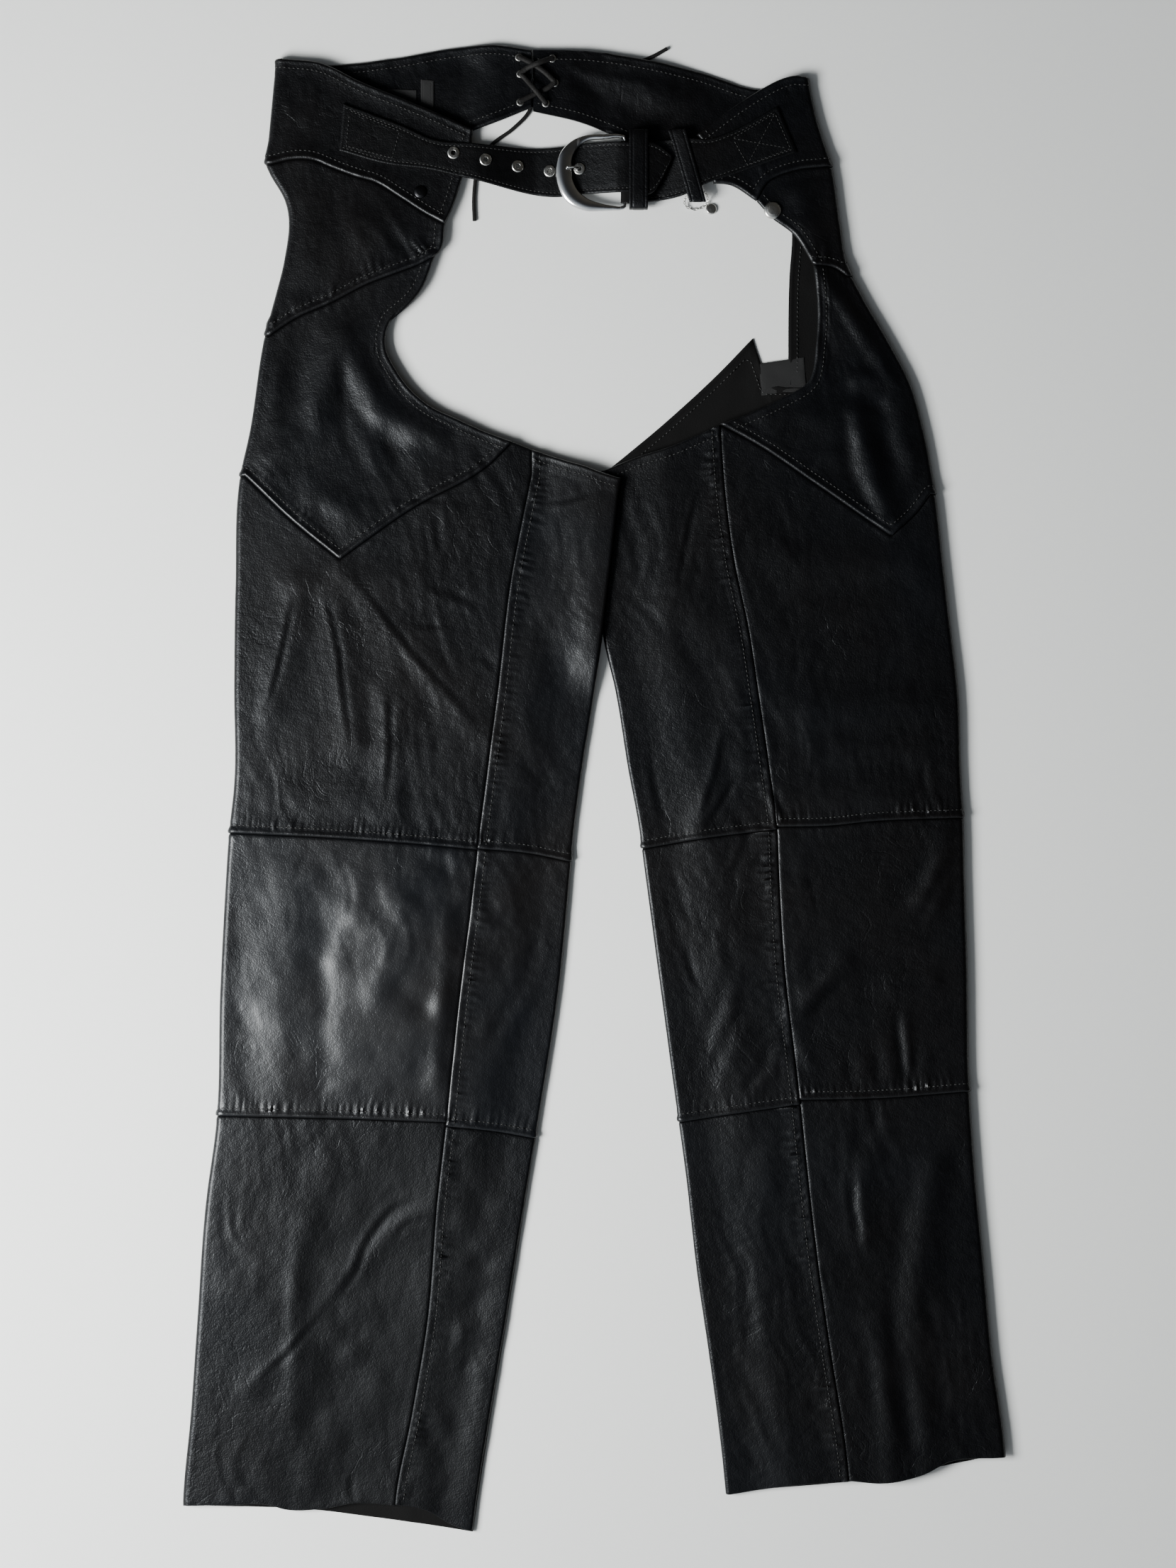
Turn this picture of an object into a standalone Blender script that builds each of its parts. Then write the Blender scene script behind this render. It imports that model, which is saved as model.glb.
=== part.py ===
"""Leather motorcycle chaps, laid out on a surface with the front up.

Each leg is a flattened tube of leather: back panels that lie on the surface, and front panels that
come over them from the folded edges. The wearer's right leg is on the -X side.
Frame: metres, +Z up, +Y towards the waist; the origin is in the middle of the footprint, on the
surface. Every size and place below is in millimetres, and is turned into metres as it is built.
"""
import math
from collections import namedtuple

import bmesh
import bpy
import numpy as np
from mathutils import Vector

MM = 0.001
PART_NAME = "leather_chaps"

# Leather, folds and clearances
LEATHER = 1.3  # one ply of a leg or hip panel
BAND = 2.0  # the doubled leather of the waist
HALF_GAP = 0.16  # half of the gap at a seam
STEEPEST = 0.5  # a slanted seam is drawn back further where it meets a fold, up to twice as far
SEAT = 0.3  # the gap under a piece that lies on another
OUTER_FOLD = 4.5  # radius of the rounded fold down the outside of a leg
INNER_FOLD = 3.0  # radius of the fold down the inseam, which lies flatter
FOLD_STEPS = 2  # facets in the quarter turn of a fold
EDGE_FADE = 22.0  # creases die out this far from a fold
LOW_EDGE = 18.0  # the strip along the inseam that stays low
LOW_BLEND = 38.0  # the width over which the leather rises from that strip
SLOPE_STEP = 0.5  # distance over which a slope is measured
MERGE = 4.0  # how firmly creases that meet are merged

# The right thigh lies over the inseam of the left one
LIFT = 6.5
LIFT_RAMP = 20.0
LIFT_MARGIN = 2.0
LIFT_LOW_Y = 60.0
LIFT_FULL_Y = 100.0

# The laced middle of the back yoke stands off the surface, above the ends of the lace
YOKE_RISE = 3.5
YOKE_MIDDLE_X = -48.5
YOKE_HUMP = (25.0, 35.0)
YOKE_BROW = (92.0, 55.0)
YOKE_BROW_RISE = (0.35, 0.4)
LACING_GAP = 1.2

# Belt and buckle
STRAP = 2.2
BILLET = 1.8
BAR_X = 24.0
BAR_Z = 7.2
BAR_RADIUS = 1.3
WRAP_RADIUS = 2.5  # from the bar's middle to the middle of the leather that wraps it
WRAP_TOP_Y = 506.0
WRAP_BOTTOM_Y = 458.0
WRAP_END_X = 36.0
TONGUE_Y = 485.0
SLOT_WIDTH = 7.0
HOLE_RADIUS = 2.9
KEEPER_WALL = 1.1
KEEPER_EASE = 0.4

Section = namedtuple("Section", "y outer seam inner")
Crease = namedtuple("Crease", "x0 y0 x1 y1 width height")
Knot = namedtuple("Knot", "stop x y")
Station = namedtuple("Station", "x z")
FrameStation = namedtuple("FrameStation", "x y half_width half_height")

RIGHT_SECTIONS = (
    Section(-581, -322, -157, -95),
    Section(-560, -322, -156, -92),
    Section(-490, -316, -143, -81),
    Section(-418, -311, -131, -69),
    Section(-323, -304, -123, -54),
    Section(-262, -296, -116, -44),
    Section(-160, -293, -105, -28),
    Section(-80, -289, -95, -20),
    Section(-35, -286, -90, -16),
    Section(4, -282, -85, -11),
    Section(81, -282, -75, 1),
    Section(158, -281, -66, 11),
    Section(246, -277, -49, 21),
    Section(278, -270, None, None),
    Section(354, -258, None, None),
    Section(388, -249, None, None),
    Section(412, -243, None, None),
    Section(462, -243, None, None),
    Section(481, -254, None, None),
    Section(488, -257, None, None),
    Section(509, -255, None, None),
    Section(572, -249, None, None),
)
LEFT_SECTIONS = (
    Section(-553, 323, 200, 103),
    Section(-523, 322, 197, 100),
    Section(-438, 311, 184, 89),
    Section(-383, 306, 176, 81),
    Section(-298, 298, 166, 71),
    Section(-240, 294, 160, 63),
    Section(-136, 292, 148, 49),
    Section(-69, 290, 144, 40),
    Section(-25, 289, 142, 34),
    Section(12, 287, 137, 27),
    Section(74, 285, 128, 17),
    Section(126, 279, 120, 6),
    Section(178, 273, 109, 5),
    Section(230, 267, 102, 5),
    Section(284, 257, 98, 3),
    Section(318, 247, None, None),
    Section(347, 232, None, None),
    Section(385, 210, None, None),
    Section(407, 199, None, None),
    Section(440, 193, None, None),
    Section(486, 186, None, None),
    Section(522, 175, None, None),
    Section(557, 167, None, None),
)

# The largest folds in the front leather: ridges are positive, troughs negative
RIGHT_CREASES = (
    Crease(-196, 352, -168, 294, 13, 5.5),
    Crease(-168, 294, -126, 276, 12, 4.5),
    Crease(-196, 352, -218, 292, 12, 5.0),
    Crease(-218, 292, -256, 252, 13, 3.5),
    Crease(-232, 356, -236, 280, 13, -1.5),
    Crease(-232, 410, -172, 440, 20, 3.5),
    Crease(-216, 226, -182, 212, 16, 2.5),
    Crease(-232, 155, -255, 60, 14, 3.0),
    Crease(-205, 150, -190, 40, 14, 2.5),
    Crease(-199, 170, -85, 38, 11, 2.0),
    Crease(-160, 80, -158, -10, 14, 2.5),
    Crease(-238, -70, -243, -230, 16, 3.0),
    Crease(-210, -110, -214, -235, 9, -1.4),
    Crease(-150, -90, -170, -160, 12, 2.5),
    Crease(-115, -100, -124, -228, 9, 3.0),
    Crease(-130, -325, -180, -365, 10, 2.5),
    Crease(-180, -365, -268, -468, 10, 2.0),
    Crease(-228, -340, -236, -490, 13, 2.5),
    Crease(-290, -390, -230, -402, 12, 1.5),
)
LEFT_CREASES = (
    Crease(176, 404, 232, 328, 11, 6.5),
    Crease(232, 328, 256, 262, 11, 5.5),
    Crease(204, 292, 216, 254, 10, 6.0),
    Crease(216, 254, 232, 209, 10, 5.0),
    Crease(224, 300, 233, 240, 8, -1.4),
    Crease(140, 284, 184, 288, 16, 3.5),
    Crease(206, 319, 234, 318, 8, 4.0),
    Crease(160, 462, 180, 430, 12, 2.5),
    Crease(110, 90, 116, 20, 12, 3.0),
    Crease(104, 50, 80, -34, 9, 2.5),
    Crease(150, 178, 266, 172, 16, 2.5),
    Crease(160, 60, 270, 66, 15, 2.5),
    Crease(157, -174, 196, -138, 10, 3.0),
    Crease(234, -155, 262, -149, 10, 2.5),
    Crease(277, -38, 260, -84, 12, 2.5),
    Crease(206, -289, 212, -354, 11, 3.0),
    Crease(265, -298, 250, -436, 12, 3.0),
    Crease(218, -416, 233, -537, 11, 3.0),
    Crease(253, -450, 262, -530, 9, 2.0),
)

# The belt strap of the wearer's right side, which ends in the pointed billet
STRAP_TOP = (
    Knot(0.0, -196, 535),
    Knot(0.18, -149, 517),
    Knot(0.27, -126, 507),
    Knot(0.39, -94, 504),
    Knot(0.64, -26, 502.5),
    Knot(0.69, -15, 504.5),
    Knot(0.84, 26, 504.5),
    Knot(0.94, 49, 502.5),
    Knot(1.0, 61, 494),
)
STRAP_BOTTOM = (
    Knot(0.0, -199, 498),
    Knot(0.18, -158, 487),
    Knot(0.27, -132, 484),
    Knot(0.39, -100, 477),
    Knot(0.64, -26, 463.5),
    Knot(0.69, -15, 465),
    Knot(0.84, 26, 465.5),
    Knot(0.94, 48, 467.5),
    Knot(1.0, 61, 492),
)
STRAP_LEAVES_X = -97.0
STRAP_LANDS_X = -45.0
STRAP_SAG = (
    Station(-45, 1.0),
    Station(-26, 2.3),
    Station(-18, 2.5),
    Station(-2, 2.5),
    Station(3, 4.5),
    Station(9, 7.8),
    Station(15, 10.6),
    Station(21, 11.5),
    Station(42, 11.5),
    Station(62, 9.6),
)
GROMMETS = ((-110, 496), (-85, 491), (-60, 487), (-35, 483.5), (-12, 485))

# The shorter strap of the wearer's left side, which carries the buckle
BILLET_TOP = (
    Knot(0.0, 30, 506),
    Knot(0.3, 72, 508),
    Knot(0.45, 90, 507.5),
    Knot(0.6, 105, 512.5),
    Knot(1.0, 143, 533),
)
BILLET_BOTTOM = (
    Knot(0.0, 30, 458),
    Knot(0.3, 70, 464),
    Knot(0.45, 86, 472),
    Knot(0.6, 108, 479.5),
    Knot(1.0, 158, 497),
)
BILLET_LEAVES_X = 44.0
BILLET_LANDS_X = 79.0

BUCKLE = (
    FrameStation(23.0, 509.3, 1.4, 1.4),
    FrameStation(20.5, 510.0, 1.6, 1.6),
    FrameStation(8, 509.6, 2.0, 1.9),
    FrameStation(-6, 508.6, 2.4, 2.2),
    FrameStation(-15, 504.0, 3.6, 2.4),
    FrameStation(-21.5, 496, 5.0, 2.5),
    FrameStation(-24, 485, 6.1, 2.6),
    FrameStation(-22.5, 473, 6.4, 2.6),
    FrameStation(-17, 463, 6.3, 2.6),
    FrameStation(-8, 457, 5.2, 2.5),
    FrameStation(4, 454.6, 3.4, 2.3),
    FrameStation(14, 453.9, 2.2, 2.0),
    FrameStation(20.5, 453.8, 1.6, 1.6),
    FrameStation(23.0, 454.6, 1.4, 1.4),
    FrameStation(24, 457, 1.3, 1.3),
    FrameStation(24, 482, 1.3, 1.3),
    FrameStation(24, 507, 1.3, 1.3),
)
BUCKLE_ARC_Z = 7.6
BUCKLE_ARC_X = -24.0
TONGUE = (
    Station(14, 3.9),
    Station(7, 2.9),
    Station(2, 1.8),
    Station(-3, 1.2),
    Station(-8, 1.15),
    Station(-10.6, 1.5),
    Station(-12.0, 2.8),
    Station(-12.2, 4.7),
    Station(-12.4, 6.8),
    Station(-13.8, 9.2),
    Station(-16.0, 11.0),
    Station(-18.4, 11.8),
    Station(-20.8, 12.0),
)

EYELETS = ((-59, 572), (-58, 559), (-58, 537), (-33, 571), (-31, 552), (-38, 536))
LACE_RADIUS = 1.5
LACE_ON_FLOOR = 1.6
LACE_OVER = ((-33, 571, 8.5), (-44, 566, 11.9), (-54, 561.8, 8.9), (-57.4, 558.7, 8.5), (-54.4, 555.3, 8.9),
             (-46, 545, 11.9), (-38, 536, 8.5))
LACE_UNDER = ((-59, 572, 8.5), (-46, 565.2, 8.1), (-34.6, 556, 8.5), (-31.4, 552.2, 8.5), (-34.6, 548.8, 8.5),
              (-46, 543.2, 8.1), (-58, 537, 8.5))
LACE_END_TOP = ((-40, 561), (-22, 566), (6, 570), (34, 569.5), (46, 574), (57, 580))
LACE_END_LOW = ((-47, 541), (-51, 531), (-64, 517), (-80, 505), (-90, 491), (-93.5, 475), (-94.5, 460),
                (-94, 445))

Finish = namedtuple("Finish", "color metallic roughness")
FINISHES = {
    "leather": Finish((0.012, 0.012, 0.014, 1), 0.0, 0.42),
    "leather_inside": Finish((0.02, 0.018, 0.017, 1), 0.0, 0.8),
    "chrome": Finish((0.72, 0.71, 0.69, 1), 1.0, 0.12),
    "nickel": Finish((0.6, 0.6, 0.58, 1), 1.0, 0.25),
    "lace": Finish((0.015, 0.013, 0.013, 1), 0.0, 0.6),
    "woven_label": Finish((0.02, 0.02, 0.022, 1), 0.0, 0.7),
    "dark_snap": Finish((0.02, 0.02, 0.02, 1), 0.6, 0.35),
}


def clear_scene():
    for thing in list(bpy.data.objects):
        bpy.data.objects.remove(thing)


def collection_of(name):
    made = bpy.data.collections.new(name)
    bpy.context.scene.collection.children.link(made)
    return made


def material_of(name):
    """The named finish, made once as a Principled material."""
    made = bpy.data.materials.get(name)
    if made is None:
        made = bpy.data.materials.new(name)
        made.use_nodes = True
        shader = made.node_tree.nodes["Principled BSDF"]
        finish = FINISHES[name]
        shader.inputs["Base Color"].default_value = finish.color
        shader.inputs["Metallic"].default_value = finish.metallic
        shader.inputs["Roughness"].default_value = finish.roughness
    return made


def add_object(name, data, finish, collection):
    made = bpy.data.objects.new(name, data)
    made.data.materials.append(material_of(finish))
    collection.objects.link(made)
    return made


def ease(t):
    """0 to 1 with a level start and end."""
    t = np.clip(t, 0.0, 1.0)
    return t * t * (3.0 - 2.0 * t)


def curve_through(at, values):
    """A smooth function that passes through the values: cubic pieces with shared slopes."""
    at = np.array(at, float)
    values = np.array(values, float)
    slopes = np.gradient(values, at)

    def value(y):
        y = np.clip(np.asarray(y, float), at[0], at[-1])
        i = np.clip(np.searchsorted(at, y) - 1, 0, len(at) - 2)
        span = at[i + 1] - at[i]
        t = (y - at[i]) / span
        start = (1 + 2 * t) * (1 - t) ** 2 * values[i] + t * (1 - t) ** 2 * span * slopes[i]
        end = t * t * (3 - 2 * t) * values[i + 1] - t * t * (1 - t) * span * slopes[i + 1]
        return start + end

    return value


class Leg:
    """One side of the chaps: its outline, its vertical seam and the height of its front leather."""

    def __init__(self, sections, creases, inward, lies_over=None):
        self.inward = inward
        self.creases = creases
        self.lies_over = lies_over
        whole = [s for s in sections if s.inner is not None]
        self.outer = curve_through([s.y for s in sections], [s.outer for s in sections])
        self.seam = curve_through([s.y for s in whole], [s.seam for s in whole])
        self.inner = curve_through([s.y for s in whole], [s.inner for s in whole])

    def outer_end(self, y):
        """Where a line across the front meets the top of the outer fold."""
        return float(self.outer(y)) + self.inward * OUTER_FOLD, y

    def inner_end(self, y):
        return float(self.inner(y)) - self.inward * INNER_FOLD, y

    def seam_end(self, y):
        return float(self.seam(y)), y

    def lift(self, x, y):
        """How far this leg is raised where it lies over the other one's inseam."""
        if self.lies_over is None:
            return np.zeros_like(np.asarray(x, float) + np.asarray(y, float))
        start = self.lies_over.inner(y) - LIFT_MARGIN - LIFT_RAMP
        across = ease((x - start) / LIFT_RAMP)
        return LIFT * across * ease((y - LIFT_LOW_Y) / (LIFT_FULL_Y - LIFT_LOW_Y))

    def creasing(self, x, y):
        """The creases together: each is a soft ridge or trough about a straight run.

        Where two of a kind meet they merge, instead of adding up.
        """
        ridges = np.zeros_like(np.asarray(x, float))
        troughs = np.zeros_like(ridges)
        for c in self.creases:
            run = np.array([c.x1 - c.x0, c.y1 - c.y0], float)
            t = ((x - c.x0) * run[0] + (y - c.y0) * run[1]) / (run @ run)
            t = np.clip(t, 0.0, 1.0)
            away = np.hypot(x - c.x0 - t * run[0], y - c.y0 - t * run[1])
            rise = abs(c.height) * np.exp(-((away / c.width) ** 2))
            if c.height > 0:
                ridges = ridges + rise**MERGE
            else:
                troughs = troughs + rise**MERGE
        return ridges ** (1 / MERGE) - troughs ** (1 / MERGE)

    def front(self, x, y):
        """Height of the outer side of the front leather."""
        from_inner = self.inward * (self.inner(y) - x)
        from_outer = self.inward * (x - self.outer(y))
        rise = 2 * (OUTER_FOLD - INNER_FOLD) * ease((from_inner - LOW_EDGE) / LOW_BLEND)
        fade = ease((from_outer - OUTER_FOLD) / EDGE_FADE) * ease((from_inner - LOW_EDGE) / EDGE_FADE)
        return 2 * INNER_FOLD + rise + fade * self.creasing(x, y) + self.lift(x, y)


LEFT = Leg(LEFT_SECTIONS, LEFT_CREASES, inward=-1)
RIGHT = Leg(RIGHT_SECTIONS, RIGHT_CREASES, inward=1, lies_over=LEFT)


def stops_of(*lines):
    return np.unique(np.round(np.concatenate([[k.stop for k in line] for line in lines]), 4))


def stations(count, *lines):
    """Stops from 0 to 1, about evenly spaced, that take in every knot of the lines."""
    knots = stops_of(*lines)
    even = np.linspace(0, 1, count + 1)
    far = np.abs(even[:, None] - knots[None, :]).min(1) > 0.45 / count
    return np.sort(np.concatenate([even[far], knots]))


def along(line, stops):
    """Points of a line of knots at the given stops."""
    at = [k.stop for k in line]
    columns = [[k.x for k in line], [k.y for k in line]]
    return np.stack([np.interp(stops, at, column) for column in columns], 1)


def spaced(*points):
    """A line of knots through the points, its stops in proportion to the length."""
    run = np.concatenate([[0], np.cumsum([math.dist(a, b) for a, b in zip(points, points[1:])])])
    return tuple(Knot(float(s), *p) for s, p in zip(run / run[-1], points))


def side_line(end_of, top_y, bottom_y, count):
    """A line down a fold or a seam, from one height to another."""
    return spaced(*[end_of(float(y)) for y in np.linspace(top_y, bottom_y, count + 1)])


def draw_back(edge, within, first_on_fold=False, last_on_fold=False):
    """Move an edge by half a gap towards the next line of points; on a fold it moves along Y only."""
    run = np.diff(edge, axis=0)
    run /= np.linalg.norm(run, axis=1)[:, None]
    run = np.stack([np.concatenate([run[:1], run]), np.concatenate([run, run[-1:]])])
    normal = np.stack([-run[..., 1], run[..., 0]], -1)
    normal = normal.sum(0) / (1 + np.sum(run[0] * run[1], axis=1))[:, None]
    normal *= np.sign(np.sum(normal * (within - edge), axis=1))[:, None]
    for end, on_fold in ((0, first_on_fold), (-1, last_on_fold)):
        if on_fold:
            normal[end] = (0.0, 1.0 / (math.copysign(max(abs(normal[end, 1]), STEEPEST), normal[end, 1])))
    edge += normal * HALF_GAP


def plan(top, bottom, left, right, columns, rows, seams, folds=()):
    """Plan positions of a panel: a net stretched between its four edges, rows from top to bottom.

    seams names the edges that join another panel, which are drawn back by half a gap; folds names
    the sides that run down a fold.
    """
    a = stations(columns, top, bottom)
    b = stations(rows, left, right) if len(left) + len(right) < rows else np.linspace(0, 1, rows + 1)
    t, u = along(top, a)[None], along(bottom, a)[None]
    v, w = along(left, b)[:, None], along(right, b)[:, None]
    a, b = a[None, :, None], b[:, None, None]
    corners = (1 - a) * ((1 - b) * t[:, :1] + b * u[:, :1]) + a * ((1 - b) * t[:, -1:] + b * u[:, -1:])
    net = (1 - b) * t + b * u + (1 - a) * v + a * w - corners
    if "top" in seams:
        draw_back(net[0], net[1], "left" in folds, "right" in folds)
    if "bottom" in seams:
        draw_back(net[-1], net[-2], "left" in folds, "right" in folds)
    if "left" in seams:
        draw_back(net[:, 0], net[:, 1])
    if "right" in seams:
        draw_back(net[:, -1], net[:, -2])
    return net[..., 0], net[..., 1]


def walls(x, y, height, thickness, facing):
    """Outer and inner points of leather at a height; facing is 1 for a front and -1 for a back.

    The inner face is straight below the outer one, further where it slopes, so edges stay upright.
    """
    z = height(x, y)
    slope = (height(x + SLOPE_STEP, y) - height(x - SLOPE_STEP, y)) / (2 * SLOPE_STEP)
    drop = facing * thickness * np.sqrt(1 + slope**2)
    return np.stack([x, y, z], -1), np.stack([x, y, z - drop], -1)


def fold(crest, y, base, radius, inward, thickness, facing):
    """The quarter turn from a fold's crest to its top or its underside, without the last column."""
    turn = np.linspace(0, math.pi / 2, FOLD_STEPS + 1)[None, :-1]
    crest, y, base = crest[:, None], y[:, None] + 0 * turn, base[:, None]
    sides = []
    for r in (radius, radius - thickness):
        x = crest + inward * (radius - r * np.cos(turn))
        z = base + radius + facing * (HALF_GAP + (r - HALF_GAP) * np.sin(turn))
        sides.append(np.stack([x, y, z], -1))
    return sides


def leather_panel(name, leg, net, height, thickness, facing, finish, collection, folds=("outer",)):
    """A wall of leather over a net of plan positions, carried round the named folds of the leg."""
    x, y = net
    outer, inner = walls(x, y, height, thickness, facing)
    if "outer" in folds:
        base = leg.lift(x[:, 0], y[:, 0])
        turned = fold(leg.outer(y[:, 0]), y[:, 0], base, OUTER_FOLD, leg.inward, thickness, facing)
        outer, inner = (np.concatenate([t, s], 1) for t, s in zip(turned, (outer, inner)))
    if "inner" in folds:
        base = leg.lift(x[:, -1], y[:, -1])
        turned = fold(leg.inner(y[:, -1]), y[:, -1], base, INNER_FOLD, -leg.inward, thickness, facing)
        outer, inner = (np.concatenate([s, t[:, ::-1]], 1) for t, s in zip(turned, (outer, inner)))
    return wall_object(name, outer, inner, finish, collection)


def wall_object(name, outer, inner, finish, collection):
    """A closed wall between two nets of points, with a rim round its four edges."""
    rows, columns = outer.shape[:2]
    mesh = bmesh.new()
    sides = []
    for points in (outer, inner):
        sides.append([[mesh.verts.new(Vector(p) * MM) for p in row] for row in points])
    over, under = sides
    for i in range(rows - 1):
        for j in range(columns - 1):
            mesh.faces.new((over[i][j], over[i][j + 1], over[i + 1][j + 1], over[i + 1][j]))
            mesh.faces.new((under[i][j], under[i + 1][j], under[i + 1][j + 1], under[i][j + 1]))
    edge = [(0, j) for j in range(columns)] + [(i, columns - 1) for i in range(1, rows)]
    edge += [(rows - 1, j) for j in range(columns - 2, -1, -1)] + [(i, 0) for i in range(rows - 2, 0, -1)]
    for (i, j), (k, m) in zip(edge, edge[1:] + edge[:1]):
        mesh.faces.new((over[i][j], under[i][j], under[k][m], over[k][m]))
    bmesh.ops.recalc_face_normals(mesh, faces=mesh.faces)
    data = bpy.data.meshes.new(name)
    mesh.to_mesh(data)
    mesh.free()
    data.shade_smooth()
    data.set_sharp_from_angle(angle=math.radians(40))
    return add_object(name, data, finish, collection)


# Seam lines across each front, from the outer fold inwards
LINES = {
    "right": {
        "waist_top": (
            Knot(0.0, *RIGHT.outer_end(570.5)),
            Knot(0.22, -214, 567),
            Knot(0.45, -182, 552),
            Knot(1.0, -95, 515),
        ),
        "waist_free": spaced((-95, 515), (-98, 493), (-104, 476), (-110, 457), (-117, 441)),
        "waist_seam": (
            Knot(0.0, *RIGHT.outer_end(488.0)),
            Knot(0.26, -219, 491),
            Knot(0.6, -172, 474),
            Knot(1.0, -117, 441),
        ),
        "hip_free": spaced((-117, 441), (-121, 420), (-125, 416)),
        "hip_seam": (
            Knot(0.0, *RIGHT.outer_end(354.0)),
            Knot(0.4, -205, 380),
            Knot(0.8, -152, 404),
            Knot(1.0, -125, 416),
        ),
        "crotch": spaced(
            (-125, 416), (-136, 389), (-147, 376), (-158, 367.5), (-163, 356), (-163, 344), (-155, 327),
            (-143, 311), (-127, 298), (-110, 290), (-88, 280), (-64, 271),
        ),
        "point_seam": (
            Knot(0.0, *RIGHT.outer_end(244.0)),
            Knot(0.35, -199, 179),
            Knot(1.0, -64, 271),
        ),
        "thigh_top": (
            Knot(0.0, *RIGHT.outer_end(244.0)),
            Knot(0.33, -199, 179),
            Knot(0.93, -64, 271),
            Knot(1.0, *RIGHT.seam_end(265.0)),
        ),
        "inner_top": (
            Knot(0.0, *RIGHT.seam_end(265.0)),
            Knot(0.4, -22, 256),
            Knot(0.62, -8, 252),
            Knot(0.8, 4, 247.5),
            Knot(1.0, *RIGHT.inner_end(243.0)),
        ),
        "knee_top": (
            (Knot(0.0, *RIGHT.outer_end(-35.0)), Knot(0.5, -190, -40), Knot(1.0, *RIGHT.seam_end(-48.0))),
            (Knot(0.0, *RIGHT.seam_end(-47.0)), Knot(1.0, *RIGHT.inner_end(-57.0))),
        ),
        "knee_bottom": (
            (Knot(0.0, *RIGHT.outer_end(-256.0)), Knot(0.5, -205, -258), Knot(1.0, *RIGHT.seam_end(-261.0))),
            (Knot(0.0, *RIGHT.seam_end(-264.0)), Knot(1.0, *RIGHT.inner_end(-273.5))),
        ),
        "hem": (
            (
                Knot(0.0, *RIGHT.outer_end(-560.5)),
                Knot(0.42, -250, -560),
                Knot(0.65, -212, -564.5),
                Knot(0.8, -188, -558.5),
                Knot(1.0, *RIGHT.seam_end(-561.0)),
            ),
            (Knot(0.0, *RIGHT.seam_end(-560.0)), Knot(0.35, -134, -564), Knot(1.0, *RIGHT.inner_end(-581.0))),
        ),
    },
    "left": {
        "waist_top": (
            Knot(0.0, *LEFT.outer_end(556.5)),
            Knot(0.35, 133, 548),
            Knot(0.58, 112, 535),
            Knot(1.0, 80, 511),
        ),
        "waist_free": spaced((80, 511), (89, 500), (93, 473)),
        "waist_seam": (
            Knot(0.0, *LEFT.outer_end(486.0)),
            Knot(0.3, 157, 483),
            Knot(0.62, 136, 474),
            Knot(1.0, 127, 459),
        ),
        "waist_bottom": (
            Knot(0.0, *LEFT.outer_end(486.0)),
            Knot(0.2, 157, 483),
            Knot(0.42, 136, 474),
            Knot(0.58, 127, 459),
            Knot(0.8, 105, 472),
            Knot(1.0, 93, 473),
        ),
        "hip_free": spaced((127, 459), (139, 446), (155, 434), (171, 409)),
        "hip_seam": (
            Knot(0.0, *LEFT.outer_end(400.5)),
            Knot(0.5, 187, 407),
            Knot(1.0, 171, 409),
        ),
        "crotch": spaced((171, 409), (174, 379), (173, 346), (167, 318), (146, 305), (120, 293), (98, 285)),
        "point_seam": (
            Knot(0.0, *LEFT.outer_end(230.0)),
            Knot(0.24, 232, 197),
            Knot(0.6, 170, 240),
            Knot(1.0, 98, 285),
        ),
        "inner_top": (
            Knot(0.0, *LEFT.seam_end(284.0)),
            Knot(0.4, 58, 267),
            Knot(0.65, 35, 260),
            Knot(1.0, *LEFT.inner_end(249.0)),
        ),
        "knee_top": (
            (Knot(0.0, *LEFT.outer_end(-23.0)), Knot(0.5, 214, -26), Knot(1.0, *LEFT.seam_end(-30.0))),
            (Knot(0.0, *LEFT.seam_end(-32.0)), Knot(0.6, 80, -40), Knot(1.0, *LEFT.inner_end(-47.0))),
        ),
        "knee_bottom": (
            (Knot(0.0, *LEFT.outer_end(-237.0)), Knot(0.5, 225, -242), Knot(1.0, *LEFT.seam_end(-243.5))),
            (Knot(0.0, *LEFT.seam_end(-247.0)), Knot(1.0, *LEFT.inner_end(-261.0))),
        ),
        "hem": (
            (
                Knot(0.0, *LEFT.outer_end(-523.0)),
                Knot(0.36, 278, -526),
                Knot(0.55, 255, -537),
                Knot(0.8, 224, -543),
                Knot(1.0, *LEFT.seam_end(-541.0)),
            ),
            (Knot(0.0, *LEFT.seam_end(-541.5)), Knot(0.5, 153, -545), Knot(1.0, *LEFT.inner_end(-552.5))),
        ),
    },
}
LINES["left"]["thigh_top"] = LINES["left"]["point_seam"][:-1] + (Knot(1.0, *LEFT.seam_end(284.5)),)


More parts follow.
